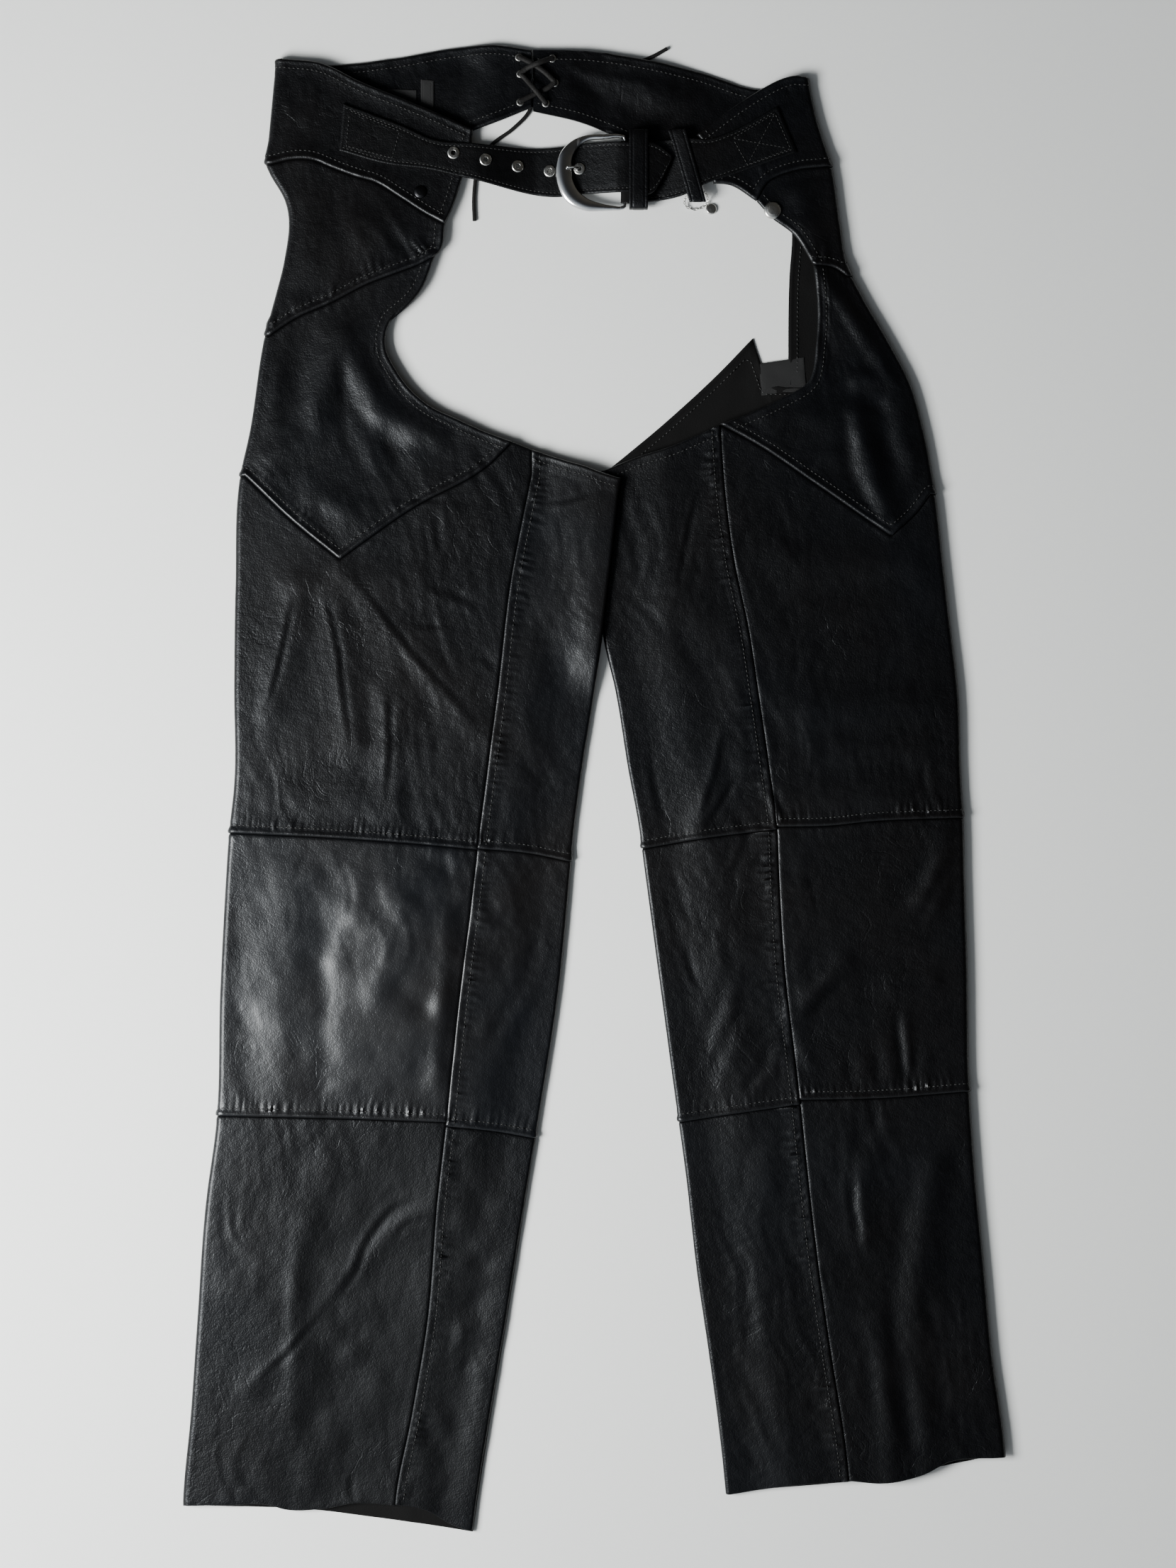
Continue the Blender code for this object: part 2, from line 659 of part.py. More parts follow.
def build_front(side, leg, collection):
    """The nine front panels of one leg, from the waist to the hem."""
    lines = LINES[side]

    def panel(name, top, bottom, left, right, columns, rows, seams, folds, thickness=LEATHER):
        sides = [end for end, fold_name in (("left", "outer"), ("right", "inner")) if fold_name in folds]
        net = plan(top, bottom, left, right, columns, rows, seams, sides)
        full_name = f"{name}_{side}"
        leather_panel(full_name, leg, net, leg.front, thickness, 1, "leather", collection, folds)

    def down_outer(top, bottom, count=8):
        return side_line(leg.outer_end, top[0].y, bottom[0].y, count)

    def down_seam(top, bottom):
        return side_line(leg.seam_end, top[-1].y, bottom[-1].y, 8)

    def down_inner(top, bottom):
        return side_line(leg.inner_end, top[-1].y, bottom[-1].y, 8)

    waist_bottom = lines.get("waist_bottom", lines["waist_seam"])
    waist_side = down_outer(lines["waist_top"], waist_bottom)
    panel("waist_front", lines["waist_top"], waist_bottom, waist_side, lines["waist_free"], 6, 4,
          ("bottom",), ("outer",), BAND)
    panel("hip_front", lines["waist_seam"], lines["hip_seam"],
          down_outer(lines["waist_seam"], lines["hip_seam"]), lines["hip_free"], 6, 6,
          ("top", "bottom"), ("outer",))
    panel("point_front", lines["hip_seam"], lines["point_seam"],
          down_outer(lines["hip_seam"], lines["point_seam"]), lines["crotch"], 9, 11,
          ("top", "bottom"), ("outer",))
    tops = {"thigh": (lines["thigh_top"], lines["inner_top"]), "knee": lines["knee_top"],
            "calf": lines["knee_bottom"]}
    bottoms = {"thigh": lines["knee_top"], "knee": lines["knee_bottom"], "calf": lines["hem"]}
    rows = {"thigh": 10, "knee": 7, "calf": 9}
    for part, (outer_top, inner_top) in tops.items():
        outer_bottom, inner_bottom = bottoms[part]
        seams = ("top",) if part == "calf" else ("top", "bottom")
        panel(f"{part}_outer", outer_top, outer_bottom, down_outer(outer_top, outer_bottom),
              down_seam(outer_top, outer_bottom), 7, rows[part], seams + ("right",), ("outer",))
        inner_seams = ("bottom",) if part == "thigh" else seams
        panel(f"{part}_inner", inner_top, inner_bottom,
              side_line(leg.seam_end, inner_top[0].y, inner_bottom[0].y, 8),
              down_inner(inner_top, inner_bottom), 4, rows[part], inner_seams + ("left",), ("inner",))


def yoke_height(edges):
    """Height of the underside of the back yoke, from its lower and upper edges."""
    low_x, low_y, high_x, high_y = edges

    def height(x, y):
        away = np.abs(x - YOKE_MIDDLE_X)
        bottom = np.interp(x, low_x, low_y)
        up = (y - bottom) / (np.interp(x, high_x, high_y) - bottom)
        hump = 1 - ease((away - YOKE_HUMP[0]) / YOKE_HUMP[1])
        brow = 1 - ease((away - YOKE_BROW[0]) / YOKE_BROW[1])
        brow = brow * ease((up - YOKE_BROW_RISE[0]) / YOKE_BROW_RISE[1])
        return YOKE_RISE * np.maximum(hump, np.where(x > YOKE_MIDDLE_X, brow, 0.0))

    return height


YOKE_LINES = {
    "right": (
        (Knot(0.0, *RIGHT.outer_end(570.0)), Knot(0.18, -214, 567), Knot(0.45, -157, 572),
         Knot(0.7, -110, 580), Knot(0.85, -79, 582), Knot(1.0, YOKE_MIDDLE_X - LACING_GAP / 2, 578)),
        (Knot(0.0, *RIGHT.outer_end(485.5)), Knot(0.35, -178, 486), Knot(0.62, -121, 504),
         Knot(0.8, -94, 516), Knot(0.88, -79, 521), Knot(1.0, YOKE_MIDDLE_X - LACING_GAP / 2, 533)),
    ),
    "left": (
        (Knot(0.0, *LEFT.outer_end(556.0)), Knot(0.14, 133, 548), Knot(0.35, 83, 561), Knot(0.55, 47, 569),
         Knot(0.8, -6, 577), Knot(1.0, YOKE_MIDDLE_X + LACING_GAP / 2, 578)),
        (Knot(0.0, *LEFT.outer_end(483.5)), Knot(0.14, 150, 476.5), Knot(0.35, 95, 480), Knot(0.55, 56, 493),
         Knot(0.68, 24, 508), Knot(0.8, -6, 520), Knot(1.0, YOKE_MIDDLE_X + LACING_GAP / 2, 530)),
    ),
}


def yoke_surface():
    """One height function for both halves of the back yoke."""
    tops = sorted({(k.x, k.y) for side in YOKE_LINES.values() for k in side[0]})
    bottoms = sorted({(k.x, k.y) for side in YOKE_LINES.values() for k in side[1]})
    return yoke_height([np.array(c) for c in (*zip(*bottoms), *zip(*tops))])


BACKS = {
    "right": {
        "strip": spaced((-178, 486), (-178, 440), (-178, 380), (-172, 340), (-170, 307)),
        "split_y": 307.0,
        "top": (
            Knot(0.0, *RIGHT.outer_end(307.0)),
            Knot(0.32, -170, 307),
            Knot(0.48, -120, 283),
            Knot(0.65, -64, 262),
            Knot(0.86, -15.4, 248.8),
            Knot(0.91, -3.8, 245.7),
            Knot(0.96, 7.7, 244),
            Knot(1.0, *RIGHT.inner_end(243.0)),
        ),
        "knee_top": (Knot(0.0, *RIGHT.outer_end(-35.0)), Knot(1.0, *RIGHT.inner_end(-57.0))),
        "knee_bottom": (Knot(0.0, *RIGHT.outer_end(-256.0)), Knot(1.0, *RIGHT.inner_end(-273.5))),
        "hem": (
            Knot(0.0, *RIGHT.outer_end(-561.5)),
            Knot(0.48, -212, -566),
            Knot(0.62, -181, -570),
            Knot(0.82, -136, -576),
            Knot(1.0, *RIGHT.inner_end(-582.0)),
        ),
    },
    "left": {
        "strip": spaced((150, 476.5), (155, 433), (153, 402), (152, 337), (152, 316)),
        "split_y": 316.0,
        "top": (
            Knot(0.0, *LEFT.outer_end(316.0)),
            Knot(0.34, 152, 316),
            Knot(0.42, 136, 316),
            Knot(0.5, 124, 353),
            Knot(0.62, 98, 326),
            Knot(0.78, 58, 289),
            Knot(1.0, *LEFT.inner_end(247.0)),
        ),
        "knee_top": (Knot(0.0, *LEFT.outer_end(-23.0)), Knot(1.0, *LEFT.inner_end(-47.0))),
        "knee_bottom": (Knot(0.0, *LEFT.outer_end(-237.0)), Knot(1.0, *LEFT.inner_end(-261.0))),
        "hem": (
            Knot(0.0, *LEFT.outer_end(-522.0)),
            Knot(0.5, 217, -541),
            Knot(1.0, *LEFT.inner_end(-551.0)),
        ),
    },
}


def build_back(side, leg, collection):
    """The back yoke, the hip strip and the three back panels, which lie on the surface."""
    lines = BACKS[side]
    yoke_top, yoke_bottom = YOKE_LINES[side]

    def panel(name, top, bottom, left, right, columns, rows, seams, folds, height, thickness=LEATHER):
        sides = [end for end, fold_name in (("left", "outer"), ("right", "inner")) if fold_name in folds]
        net = plan(top, bottom, left, right, columns, rows, seams, sides)
        full_name = f"{name}_{side}"
        leather_panel(full_name, leg, net, height, thickness, -1, "leather_inside", collection, folds)

    middle = spaced((yoke_top[-1].x, yoke_top[-1].y), (yoke_bottom[-1].x, yoke_bottom[-1].y))
    panel("yoke_back", yoke_top, yoke_bottom, side_line(leg.outer_end, yoke_top[0].y, yoke_bottom[0].y, 4),
          middle, 11, 4, ("bottom",), ("outer",), yoke_surface(), BAND)
    strip_top = tuple(k for k in yoke_bottom if abs(k.x) >= abs(lines["strip"][0].x))
    strip_top = tuple(Knot(k.stop / strip_top[-1].stop, k.x, k.y) for k in strip_top)
    split = (Knot(0.0, *leg.outer_end(lines["split_y"])), Knot(1.0, lines["strip"][-1].x, lines["split_y"]))
    panel("hip_back", strip_top, split, side_line(leg.outer_end, strip_top[0].y, split[0].y, 8),
          lines["strip"], 3, 7, ("top", "bottom"), ("outer",), leg.lift)
    levels = (("thigh_back", lines["top"], lines["knee_top"], 10),
              ("knee_back", lines["knee_top"], lines["knee_bottom"], 4),
              ("calf_back", lines["knee_bottom"], lines["hem"], 6))
    for name, top, bottom, rows in levels:
        seams = ("top",) if name == "calf_back" else ("top", "bottom")
        outer_side = side_line(leg.outer_end, top[0].y, bottom[0].y, 8)
        inner_side = side_line(leg.inner_end, top[-1].y, bottom[-1].y, 8)
        panel(name, top, bottom, outer_side, inner_side, 7, rows, seams, ("outer", "inner"), leg.lift)


def strap_underside(x, y):
    """Height of the underside of the long strap: on the waist, then sagging to pass under the buckle."""
    sag = np.interp(x, [s.x for s in STRAP_SAG], [s.z for s in STRAP_SAG])
    seated = RIGHT.front(x, y) + SEAT
    down = ease((x - STRAP_LEAVES_X) / (STRAP_LANDS_X - STRAP_LEAVES_X))
    return seated * (1 - down) + sag * down


def strap_top(x, y):
    return strap_underside(x, y) + STRAP


def billet_underside(x, y):
    """Height of the underside of the buckle strap, from the bar up on to the left waist."""
    low = BAR_Z - WRAP_RADIUS - BILLET / 2
    up = ease((x - BILLET_LEAVES_X) / (BILLET_LANDS_X - BILLET_LEAVES_X))
    return low * (1 - up) + (LEFT.front(x, y) + SEAT) * up


def strip_points(top, bottom, count, across=3):
    """Plan positions of a strap between its two edges."""
    stops = stations(count, top, bottom)
    share = np.linspace(0, 1, across)[:, None, None]
    net = (1 - share) * along(top, stops)[None] + share * along(bottom, stops)[None]
    return net[..., 0], net[..., 1]


def cut_with(target, cutter):
    """Cut one object from another with a Boolean modifier."""
    cutter.hide_render = True
    cutter.display_type = "WIRE"
    cut = target.modifiers.new("cut", "BOOLEAN")
    cut.operation = "DIFFERENCE"
    cut.solver = "EXACT"
    cut.object = cutter


def hole_cutter(name, x, y, cutters):
    place, normal = seat_on(strap_top, x, y, HOLE_RADIUS)
    mesh = bmesh.new()
    radius = HOLE_RADIUS * MM
    bmesh.ops.create_cone(mesh, cap_ends=True, segments=12, radius1=radius, radius2=radius, depth=16 * MM)
    data = bpy.data.meshes.new(name)
    mesh.to_mesh(data)
    mesh.free()
    made = bpy.data.objects.new(name, data)
    made.location = place * MM
    made.rotation_euler = normal.to_track_quat("Z", "Y").to_euler()
    cutters.objects.link(made)
    return made


def build_long_strap(collection, cutters):
    """The strap sewn to the right waist, with five holes, running through the buckle to its point."""
    x, y = strip_points(STRAP_TOP, STRAP_BOTTOM, 38)
    under, over = walls(x, y, strap_underside, STRAP, -1)
    strap = wall_object("belt_strap_right", under, over, "leather", collection)
    for number, (hx, hy) in enumerate(GROMMETS, 1):
        cut_with(strap, hole_cutter(f"hole_{number}", hx, hy, cutters))


def build_buckle_strap(collection, cutters):
    """The strap sewn to the left waist, which wraps round the buckle's bar and is slotted for the tongue."""
    half = BILLET / 2
    turn = np.radians(np.linspace(90, 270, 9))
    wrap_x = np.concatenate([[WRAP_END_X, 30.0], BAR_X + WRAP_RADIUS * np.cos(turn)])
    wrap_top = BAR_Z + WRAP_RADIUS
    wrap_z = np.concatenate([[wrap_top - 0.6, wrap_top], BAR_Z + WRAP_RADIUS * np.sin(turn)])
    wrap_y = np.array([WRAP_TOP_Y, (WRAP_TOP_Y + WRAP_BOTTOM_Y) / 2, WRAP_BOTTOM_Y])
    x, y = strip_points(BILLET_TOP, BILLET_BOTTOM, 20)
    middle = billet_underside(x, y) + half
    x = np.concatenate([np.tile(wrap_x, (3, 1)), x], 1)
    y = np.concatenate([np.tile(wrap_y[:, None], (1, len(wrap_x))), y], 1)
    z = np.concatenate([np.tile(wrap_z, (3, 1)), middle], 1)
    dx, dz = np.gradient(x, axis=1), np.gradient(z, axis=1)
    long = np.hypot(dx, dz)
    outer = np.stack([x + half * dz / long, y, z - half * dx / long], -1)
    inner = np.stack([x - half * dz / long, y, z + half * dx / long], -1)
    strap = wall_object("belt_strap_left", outer, inner, "leather", collection)
    mesh = bmesh.new()
    bmesh.ops.create_cube(mesh, size=1.0)
    data = bpy.data.meshes.new("tongue_slot")
    mesh.to_mesh(data)
    mesh.free()
    slot = bpy.data.objects.new("tongue_slot", data)
    slot.scale = (12 * MM, SLOT_WIDTH * MM, 14 * MM)
    slot.location = Vector((BAR_X, TONGUE_Y, BAR_Z)) * MM
    cutters.objects.link(slot)
    cut_with(strap, slot)


def ring_sweep(name, rings, finish, collection, closed):
    """A tube through rings of points, closed on itself or capped at its ends."""
    mesh = bmesh.new()
    loops = [[mesh.verts.new(Vector(p) * MM) for p in ring] for ring in rings]
    pairs = list(zip(loops, loops[1:] + loops[:1])) if closed else list(zip(loops, loops[1:]))
    for ring, following in pairs:
        for i in range(len(ring)):
            j = (i + 1) % len(ring)
            mesh.faces.new((ring[i], ring[j], following[j], following[i]))
    if not closed:
        mesh.faces.new(loops[0])
        mesh.faces.new(loops[-1])
    bmesh.ops.recalc_face_normals(mesh, faces=mesh.faces)
    data = bpy.data.meshes.new(name)
    mesh.to_mesh(data)
    mesh.free()
    data.shade_smooth()
    return add_object(name, data, finish, collection)


def closed_curve(values, per_gap):
    """A smooth closed run through the rows of values, with extra points in each gap."""
    rows = np.array(values, float)
    rows = np.concatenate([rows[-2:], rows, rows[:3]])
    run = np.concatenate([[0], np.cumsum(np.linalg.norm(np.diff(rows[:, :2], axis=0), axis=1))])
    share = np.linspace(0, 1, per_gap, endpoint=False)
    at = (run[2:-3, None] + share * np.diff(run)[2:-2, None]).ravel()
    return np.stack([curve_through(run, column)(at) for column in rows.T], 1)


def build_buckle(collection):
    """The horseshoe frame with its bar, as one closed loop of oval section."""
    run = closed_curve(BUCKLE, 2)
    x, y, wide, high = run.T
    z = BUCKLE_ARC_Z + (BAR_Z - BUCKLE_ARC_Z) * (x - BUCKLE_ARC_X) / (BAR_X - BUCKLE_ARC_X)
    dx, dy = np.roll(x, -1) - np.roll(x, 1), np.roll(y, -1) - np.roll(y, 1)
    long = np.hypot(dx, dy)
    turn = np.radians(np.arange(0, 360, 45))
    across = (wide[:, None] * np.cos(turn))[..., None] * np.stack([-dy / long, dx / long, 0 * x], -1)[:, None]
    upward = (high[:, None] * np.sin(turn))[..., None] * np.array([0, 0, 1.0])
    rings = np.stack([x, y, z], -1)[:, None] + across + upward
    ring_sweep("buckle_frame", rings, "chrome", collection, closed=True)


def tube(name, points, radii, finish, collection, sides=2):
    """A curve object with a round bevel and filled caps."""
    curve = bpy.data.curves.new(name, "CURVE")
    curve.dimensions = "3D"
    curve.bevel_depth = max(radii) * MM
    curve.bevel_resolution = sides
    curve.use_fill_caps = True
    spline = curve.splines.new("POLY")
    spline.points.add(len(points) - 1)
    for node, point, radius in zip(spline.points, points, radii):
        node.co = (*(Vector(point) * MM), 1.0)
        node.radius = radius / max(radii)
    return add_object(name, curve, finish, collection)


def smooth_route(points, count):
    """Evenly spaced points on a smooth run through the route's own points."""
    route = np.array(points, float)
    run = np.concatenate([[0], np.cumsum(np.linalg.norm(np.diff(route, axis=0), axis=1))])
    at = np.linspace(0, run[-1], count)
    return np.stack([curve_through(run, route[:, k])(at) for k in range(3)], 1)


def build_tongue(collection):
    """The buckle's tongue: an eye round the bar, then a rod under the strap and up through its hole."""
    eye = BAR_RADIUS + SEAT + 1.1
    turn = np.radians(np.linspace(165, -90, 9))
    points = [(BAR_X + eye * math.cos(a), TONGUE_Y, BAR_Z + eye * math.sin(a)) for a in turn]
    points += [(x, TONGUE_Y, z) for x, z in TONGUE]
    radii = [1.0] * 12 + [0.9] * 10
    tube("buckle_tongue", points, radii, "chrome", collection, sides=1)


def build_keeper(name, top, bottom, width, under, over, collection):
    """A leather loop round the belt: from a top to a bottom place, between two height functions."""
    top, bottom = np.array(top, float), np.array(bottom, float)
    share = np.array([0.0, 0.035, 0.27, 0.5, 0.73, 0.965, 1.0])
    ends = np.array([0.35, 1.0, 1.0, 1.0, 1.0, 1.0, 0.35])  # the loop narrows to its two ends
    outer, inner = [], []
    for edge in (-width / 2, 0.0, width / 2):
        rim = {"outer": [], "inner": []}
        for which, wall in (("outer", KEEPER_WALL), ("inner", 0.0)):
            length = bottom - top
            grown = wall / np.linalg.norm(length)
            spots = top + np.interp(share, [0, 1], [-grown, 1 + grown])[:, None] * length
            x, y = spots[:, 0] + edge, spots[:, 1]
            low, high = under(x, y) - KEEPER_EASE - wall, over(x, y) + KEEPER_EASE + wall
            middle, half = (low + high) / 2, (high - low) / 2 * ends
            rim[which] = [*zip(x, y, middle + half), *zip(x[::-1], y[::-1], (middle - half)[::-1])]
        outer.append(rim["outer"])
        inner.append(rim["inner"])
    rings = [[side[i] for side in outer + inner[::-1]] for i in range(len(outer[0]))]
    ring_sweep(name, rings, "leather", collection, closed=True)


def build_keepers(collection):
    def billet_top(x, y):
        return billet_underside(x, y) + BILLET

    build_keeper("keeper_buckle", (34.5, 514), (34.5, 453.5), 14.5, billet_underside, strap_top, collection)
    build_keeper("keeper_end", (64.5, 514.5), (80.5, 459), 13.0, billet_underside, billet_top, collection)


def turned(name, profile, place, normal, finish, collection, steps):
    """A turned piece: a profile of (radius, height) spun about its own axis."""
    data = bpy.data.meshes.new(name)
    points = [(r * MM, 0.0, z * MM) for r, z in profile]
    closed = profile[0][0] > 0
    edges = [(i, i + 1) for i in range(len(points) - 1)] + ([(len(points) - 1, 0)] if closed else [])
    data.from_pydata(points, edges, [])
    made = add_object(name, data, finish, collection)
    spin = made.modifiers.new("spin", "SCREW")
    spin.axis = "Z"
    spin.steps = steps
    spin.render_steps = steps
    spin.use_merge_vertices = True
    spin.merge_threshold = 0.00001
    made.location = Vector(place) * MM
    made.rotation_euler = Vector(normal).to_track_quat("Z", "Y").to_euler()
    return made


GROMMET_PROFILE = ((1.9, 1.0), (4.1, 0.9), (4.75, 0.4), (4.75, 0.0), (2.3, 0.0), (2.3, -2.0), (1.9, -2.0))
EYELET_PROFILE = ((1.7, 0.8), (2.7, 0.75), (3.1, 0.3), (3.1, 0.0), (1.7, 0.0))
SNAP_PROFILE = ((0.0, 3.0), (3.4, 2.8), (5.6, 2.2), (6.7, 1.2), (6.7, 0.3), (6.0, 0.0), (0.0, 0.0))
DARK_SNAP_PROFILE = ((0.0, 1.9), (2.8, 1.7), (4.6, 1.1), (5.0, 0.4), (5.0, 0.0), (0.0, 0.0))
CHARM_PROFILE = ((0.0, 2.6), (3.6, 2.4), (4.3, 1.7), (4.3, 0.9), (3.6, 0.3), (0.0, 0.3))


def seat_on(height, x, y, radius):
    """Where a round piece sits on a height function: the middle of its underside, and its axis."""
    turn = np.radians(np.arange(0, 360, 30))
    rim_x, rim_y = x + radius * np.cos(turn), y + radius * np.sin(turn)
    rim = height(rim_x, rim_y)
    slope = np.array([rim @ np.cos(turn), rim @ np.sin(turn)]) * 2 / (len(turn) * radius)
    middle = float(height(np.float64(x), np.float64(y)))
    flat = middle + slope[0] * (rim_x - x) + slope[1] * (rim_y - y)
    clear = max(0.0, float(np.max(rim - flat)))
    normal = Vector((-slope[0], -slope[1], 1.0)).normalized()
    return Vector((x, y, middle + clear + SEAT)), normal


def build_metal(collection):
    """Grommets on the belt, eyelets on the yoke, and the two snaps on the hips."""
    yoke = yoke_surface()

    def yoke_top(x, y):
        return yoke(x, y) + BAND

    for number, (x, y) in enumerate(GROMMETS, 1):
        place, normal = seat_on(strap_top, x, y, GROMMET_PROFILE[3][0])
        turned(f"grommet_{number}", GROMMET_PROFILE, place, normal, "nickel", collection, 12)
    for number, (x, y) in enumerate(EYELETS, 1):
        place, normal = seat_on(yoke_top, x, y, EYELET_PROFILE[3][0])
        turned(f"eyelet_{number}", EYELET_PROFILE, place, normal, "nickel", collection, 8)
    for name, leg, x, y, profile, finish in (
        ("snap_left", LEFT, 139.0, 451.5, SNAP_PROFILE, "nickel"),
        ("snap_right", RIGHT, -136.0, 466.0, DARK_SNAP_PROFILE, "dark_snap"),
    ):
        place, normal = seat_on(leg.front, x, y, profile[3][0])
        turned(name, profile, place, normal, finish, collection, 16)


def build_laces(collection):
    """The thong that laces the yoke, as two zigzags, and its two loose ends on the surface."""
    for name, route in (("lace_over", LACE_OVER), ("lace_under", LACE_UNDER)):
        points = smooth_route(route, 24)
        tube(name, points, [LACE_RADIUS] * len(points), "lace", collection)
    for name, route, count in (("lace_end_top", LACE_END_TOP, 16), ("lace_end_low", LACE_END_LOW, 20)):
        points = smooth_route([(x, y, LACE_ON_FLOOR) for x, y in route], count)
        tube(name, points, [LACE_RADIUS] * count, "lace", collection)


def build_labels(collection):
    """Plain woven labels: two on the yoke beside the waist, one at the seat edge of the left back."""
    yoke = yoke_surface()

    def on_yoke(x, y):
        return yoke(x, y) + BAND + 2 * SEAT

    def on_back(x, y):
        return LEATHER + SEAT + 0 * x

    for name, corners, height in (
        ("label_size", ((-136, 555.5), (-126, 554.5), (-126, 533.5), (-136, 534.5)), on_yoke),
        ("label_patch", ((-182, 549), (-139.5, 547), (-139.5, 533), (-182, 535)), on_yoke),
        ("label_care", ((129, 333), (164, 338), (166, 312), (131, 308)), on_back),
    ):
        a, b, c, d = corners
        top, bottom = spaced(a, b), spaced(d, c)
        x, y = strip_points(top, bottom, 3, 2)
        lower, upper = walls(x, y, height, 0.6, -1)
        wall_object(name, lower, upper, "woven_label", collection)


def build_charm(collection):
    """The short chain that hangs from the end keeper, and its plain round drop."""
    route = [(86.0, 466.5, 8.6), (88.6, 463, 5.0), (88.2, 458.6, 2.0), (84, 455.6, 1.1), (77, 454.2, 1.0),
             (71.6, 456.8, 2.4), (70.6, 460, 5.4), (72.2, 462.6, 8.7)]
    tube("chain", smooth_route(route, 18), [0.8] * 18, "nickel", collection, sides=1)
    turned("charm", CHARM_PROFILE, (91.5, 454.3, 0.0), (0, 0, 1), "nickel", collection, 12)


def main():
    clear_scene()
    parts = collection_of(PART_NAME)
    cutters = collection_of("cutters")
    for side, leg in (("right", RIGHT), ("left", LEFT)):
        build_back(side, leg, parts)
        build_front(side, leg, parts)
    build_long_strap(parts, cutters)
    build_buckle_strap(parts, cutters)
    build_buckle(parts)
    build_tongue(parts)
    build_keepers(parts)
    build_metal(parts)
    build_laces(parts)
    build_labels(parts)
    build_charm(parts)


main()
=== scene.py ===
# %% [markdown]
# # A pair of leather chaps, laid out on a pale surface
# Each leg is a flattened tube of leather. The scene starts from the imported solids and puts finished
# leather, stitches, metal and lacing in their places. Sizes are worked out in millimetres and
# turned into metres where a mesh is made.

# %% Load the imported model
import math
from collections import namedtuple

import bpy
import numpy as np
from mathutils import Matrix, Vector


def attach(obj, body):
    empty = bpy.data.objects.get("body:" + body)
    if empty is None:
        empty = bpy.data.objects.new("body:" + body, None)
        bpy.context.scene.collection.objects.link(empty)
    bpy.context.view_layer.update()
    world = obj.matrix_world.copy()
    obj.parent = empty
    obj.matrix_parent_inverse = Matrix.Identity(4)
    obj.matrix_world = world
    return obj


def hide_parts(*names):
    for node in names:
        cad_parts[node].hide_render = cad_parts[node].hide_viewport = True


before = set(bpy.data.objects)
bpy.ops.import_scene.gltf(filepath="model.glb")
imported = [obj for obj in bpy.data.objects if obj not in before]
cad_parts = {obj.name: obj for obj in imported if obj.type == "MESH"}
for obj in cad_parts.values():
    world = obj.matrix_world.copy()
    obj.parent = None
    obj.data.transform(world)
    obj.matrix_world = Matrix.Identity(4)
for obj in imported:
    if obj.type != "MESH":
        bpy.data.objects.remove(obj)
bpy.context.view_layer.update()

MM = 0.001

# %% [markdown]
# ## Pieces
# Every piece rides on the root and stands for the solids that it names.


# %% Putting pieces in the scene
def linked(name, data):
    """A new object in the scene."""
    made = bpy.data.objects.new(name, data)
    bpy.context.scene.collection.objects.link(made)
    return made


def place_piece(name, data, nodes, slot):
    """Put a mesh or a curve in the scene as a piece that stands for the named nodes."""
    piece = linked(name, data)
    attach(piece, "root")
    if nodes:
        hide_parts(*nodes)
    return piece


def mesh_of(name, points, faces, finishes, sharp=None):
    """A smooth mesh from points in millimetres, with its edges sharp beyond an angle."""
    data = bpy.data.meshes.new(name)
    data.from_pydata(points * MM, [], faces)
    for finish in finishes:
        data.materials.append(finish)
    data.shade_smooth()
    if sharp is not None:
        data.set_sharp_from_angle(angle=sharp)
    return data


# %% [markdown]
# ## Camera
# The chaps are seen from straight above. A camera some way up, with a long lens, keeps the legs
# parallel; the lens follows from how much of the floor the frame takes in.

# %% Camera
SENSOR = 36.0
VIEW_HEIGHT = 1.230  # metres of floor from the top of the frame to its bottom
VIEW_MIDDLE = (-0.005, 0.0036)
CAMERA_HEIGHT = 2.2

camera_data = bpy.data.cameras.new("camera")
camera_data.sensor_width = SENSOR
camera_data.lens = SENSOR * CAMERA_HEIGHT / VIEW_HEIGHT
camera = linked("camera", camera_data)
camera.location = (*VIEW_MIDDLE, CAMERA_HEIGHT)
bpy.context.scene.camera = camera
print("lens:", round(camera_data.lens, 1))

# %% [markdown]
# ## Smooth lines
# Outlines, seams and laces are all given as a few points. Cubic pieces that share their slopes
# pass smoothly through them, so the few points give a line of any fineness.


# %% Lines through points
def ease(t):
    """From 0 to 1 with a level start and end: 3t^2 - 2t^3."""
    t = np.clip(t, 0.0, 1.0)
    return t * t * (3.0 - 2.0 * t)


def bell(t):
    """1 at 0, falling away on both sides: e^-t^2."""
    return np.exp(-(t**2))


def rounding(away, radius):
    """How far an edge rounded to a quarter circle falls short, from 1 at the edge to 0 at the radius."""
    t = np.clip(away / radius, 0.0, 1.0)
    return 1.0 - np.sqrt(np.clip(1.0 - (1.0 - t) ** 2, 0.0, 1.0))


def turns(count):
    """Angles once round."""
    return np.linspace(0, 2 * math.pi, count, endpoint=False)


def through(at, values):
    """A function that passes through the values: cubic pieces that share their slopes."""
    at, values = np.array(at, float), np.array(values, float)
    slopes = np.gradient(values, at)

    def value(y):
        y = np.clip(np.asarray(y, float), at[0], at[-1])
        i = np.clip(np.searchsorted(at, y) - 1, 0, len(at) - 2)
        span = at[i + 1] - at[i]
        t = (y - at[i]) / span
        start = (1 + 2 * t) * (1 - t) ** 2 * values[i] + t * (1 - t) ** 2 * span * slopes[i]
        end = t * t * (3 - 2 * t) * values[i + 1] - t * t * (1 - t) * span * slopes[i + 1]
        return start + end

    return value


def run_of(points):
    """The run along a line of points: the sum of the steps so far."""
    return np.concatenate([[0.0], np.cumsum(np.linalg.norm(np.diff(points, axis=0), axis=1))])


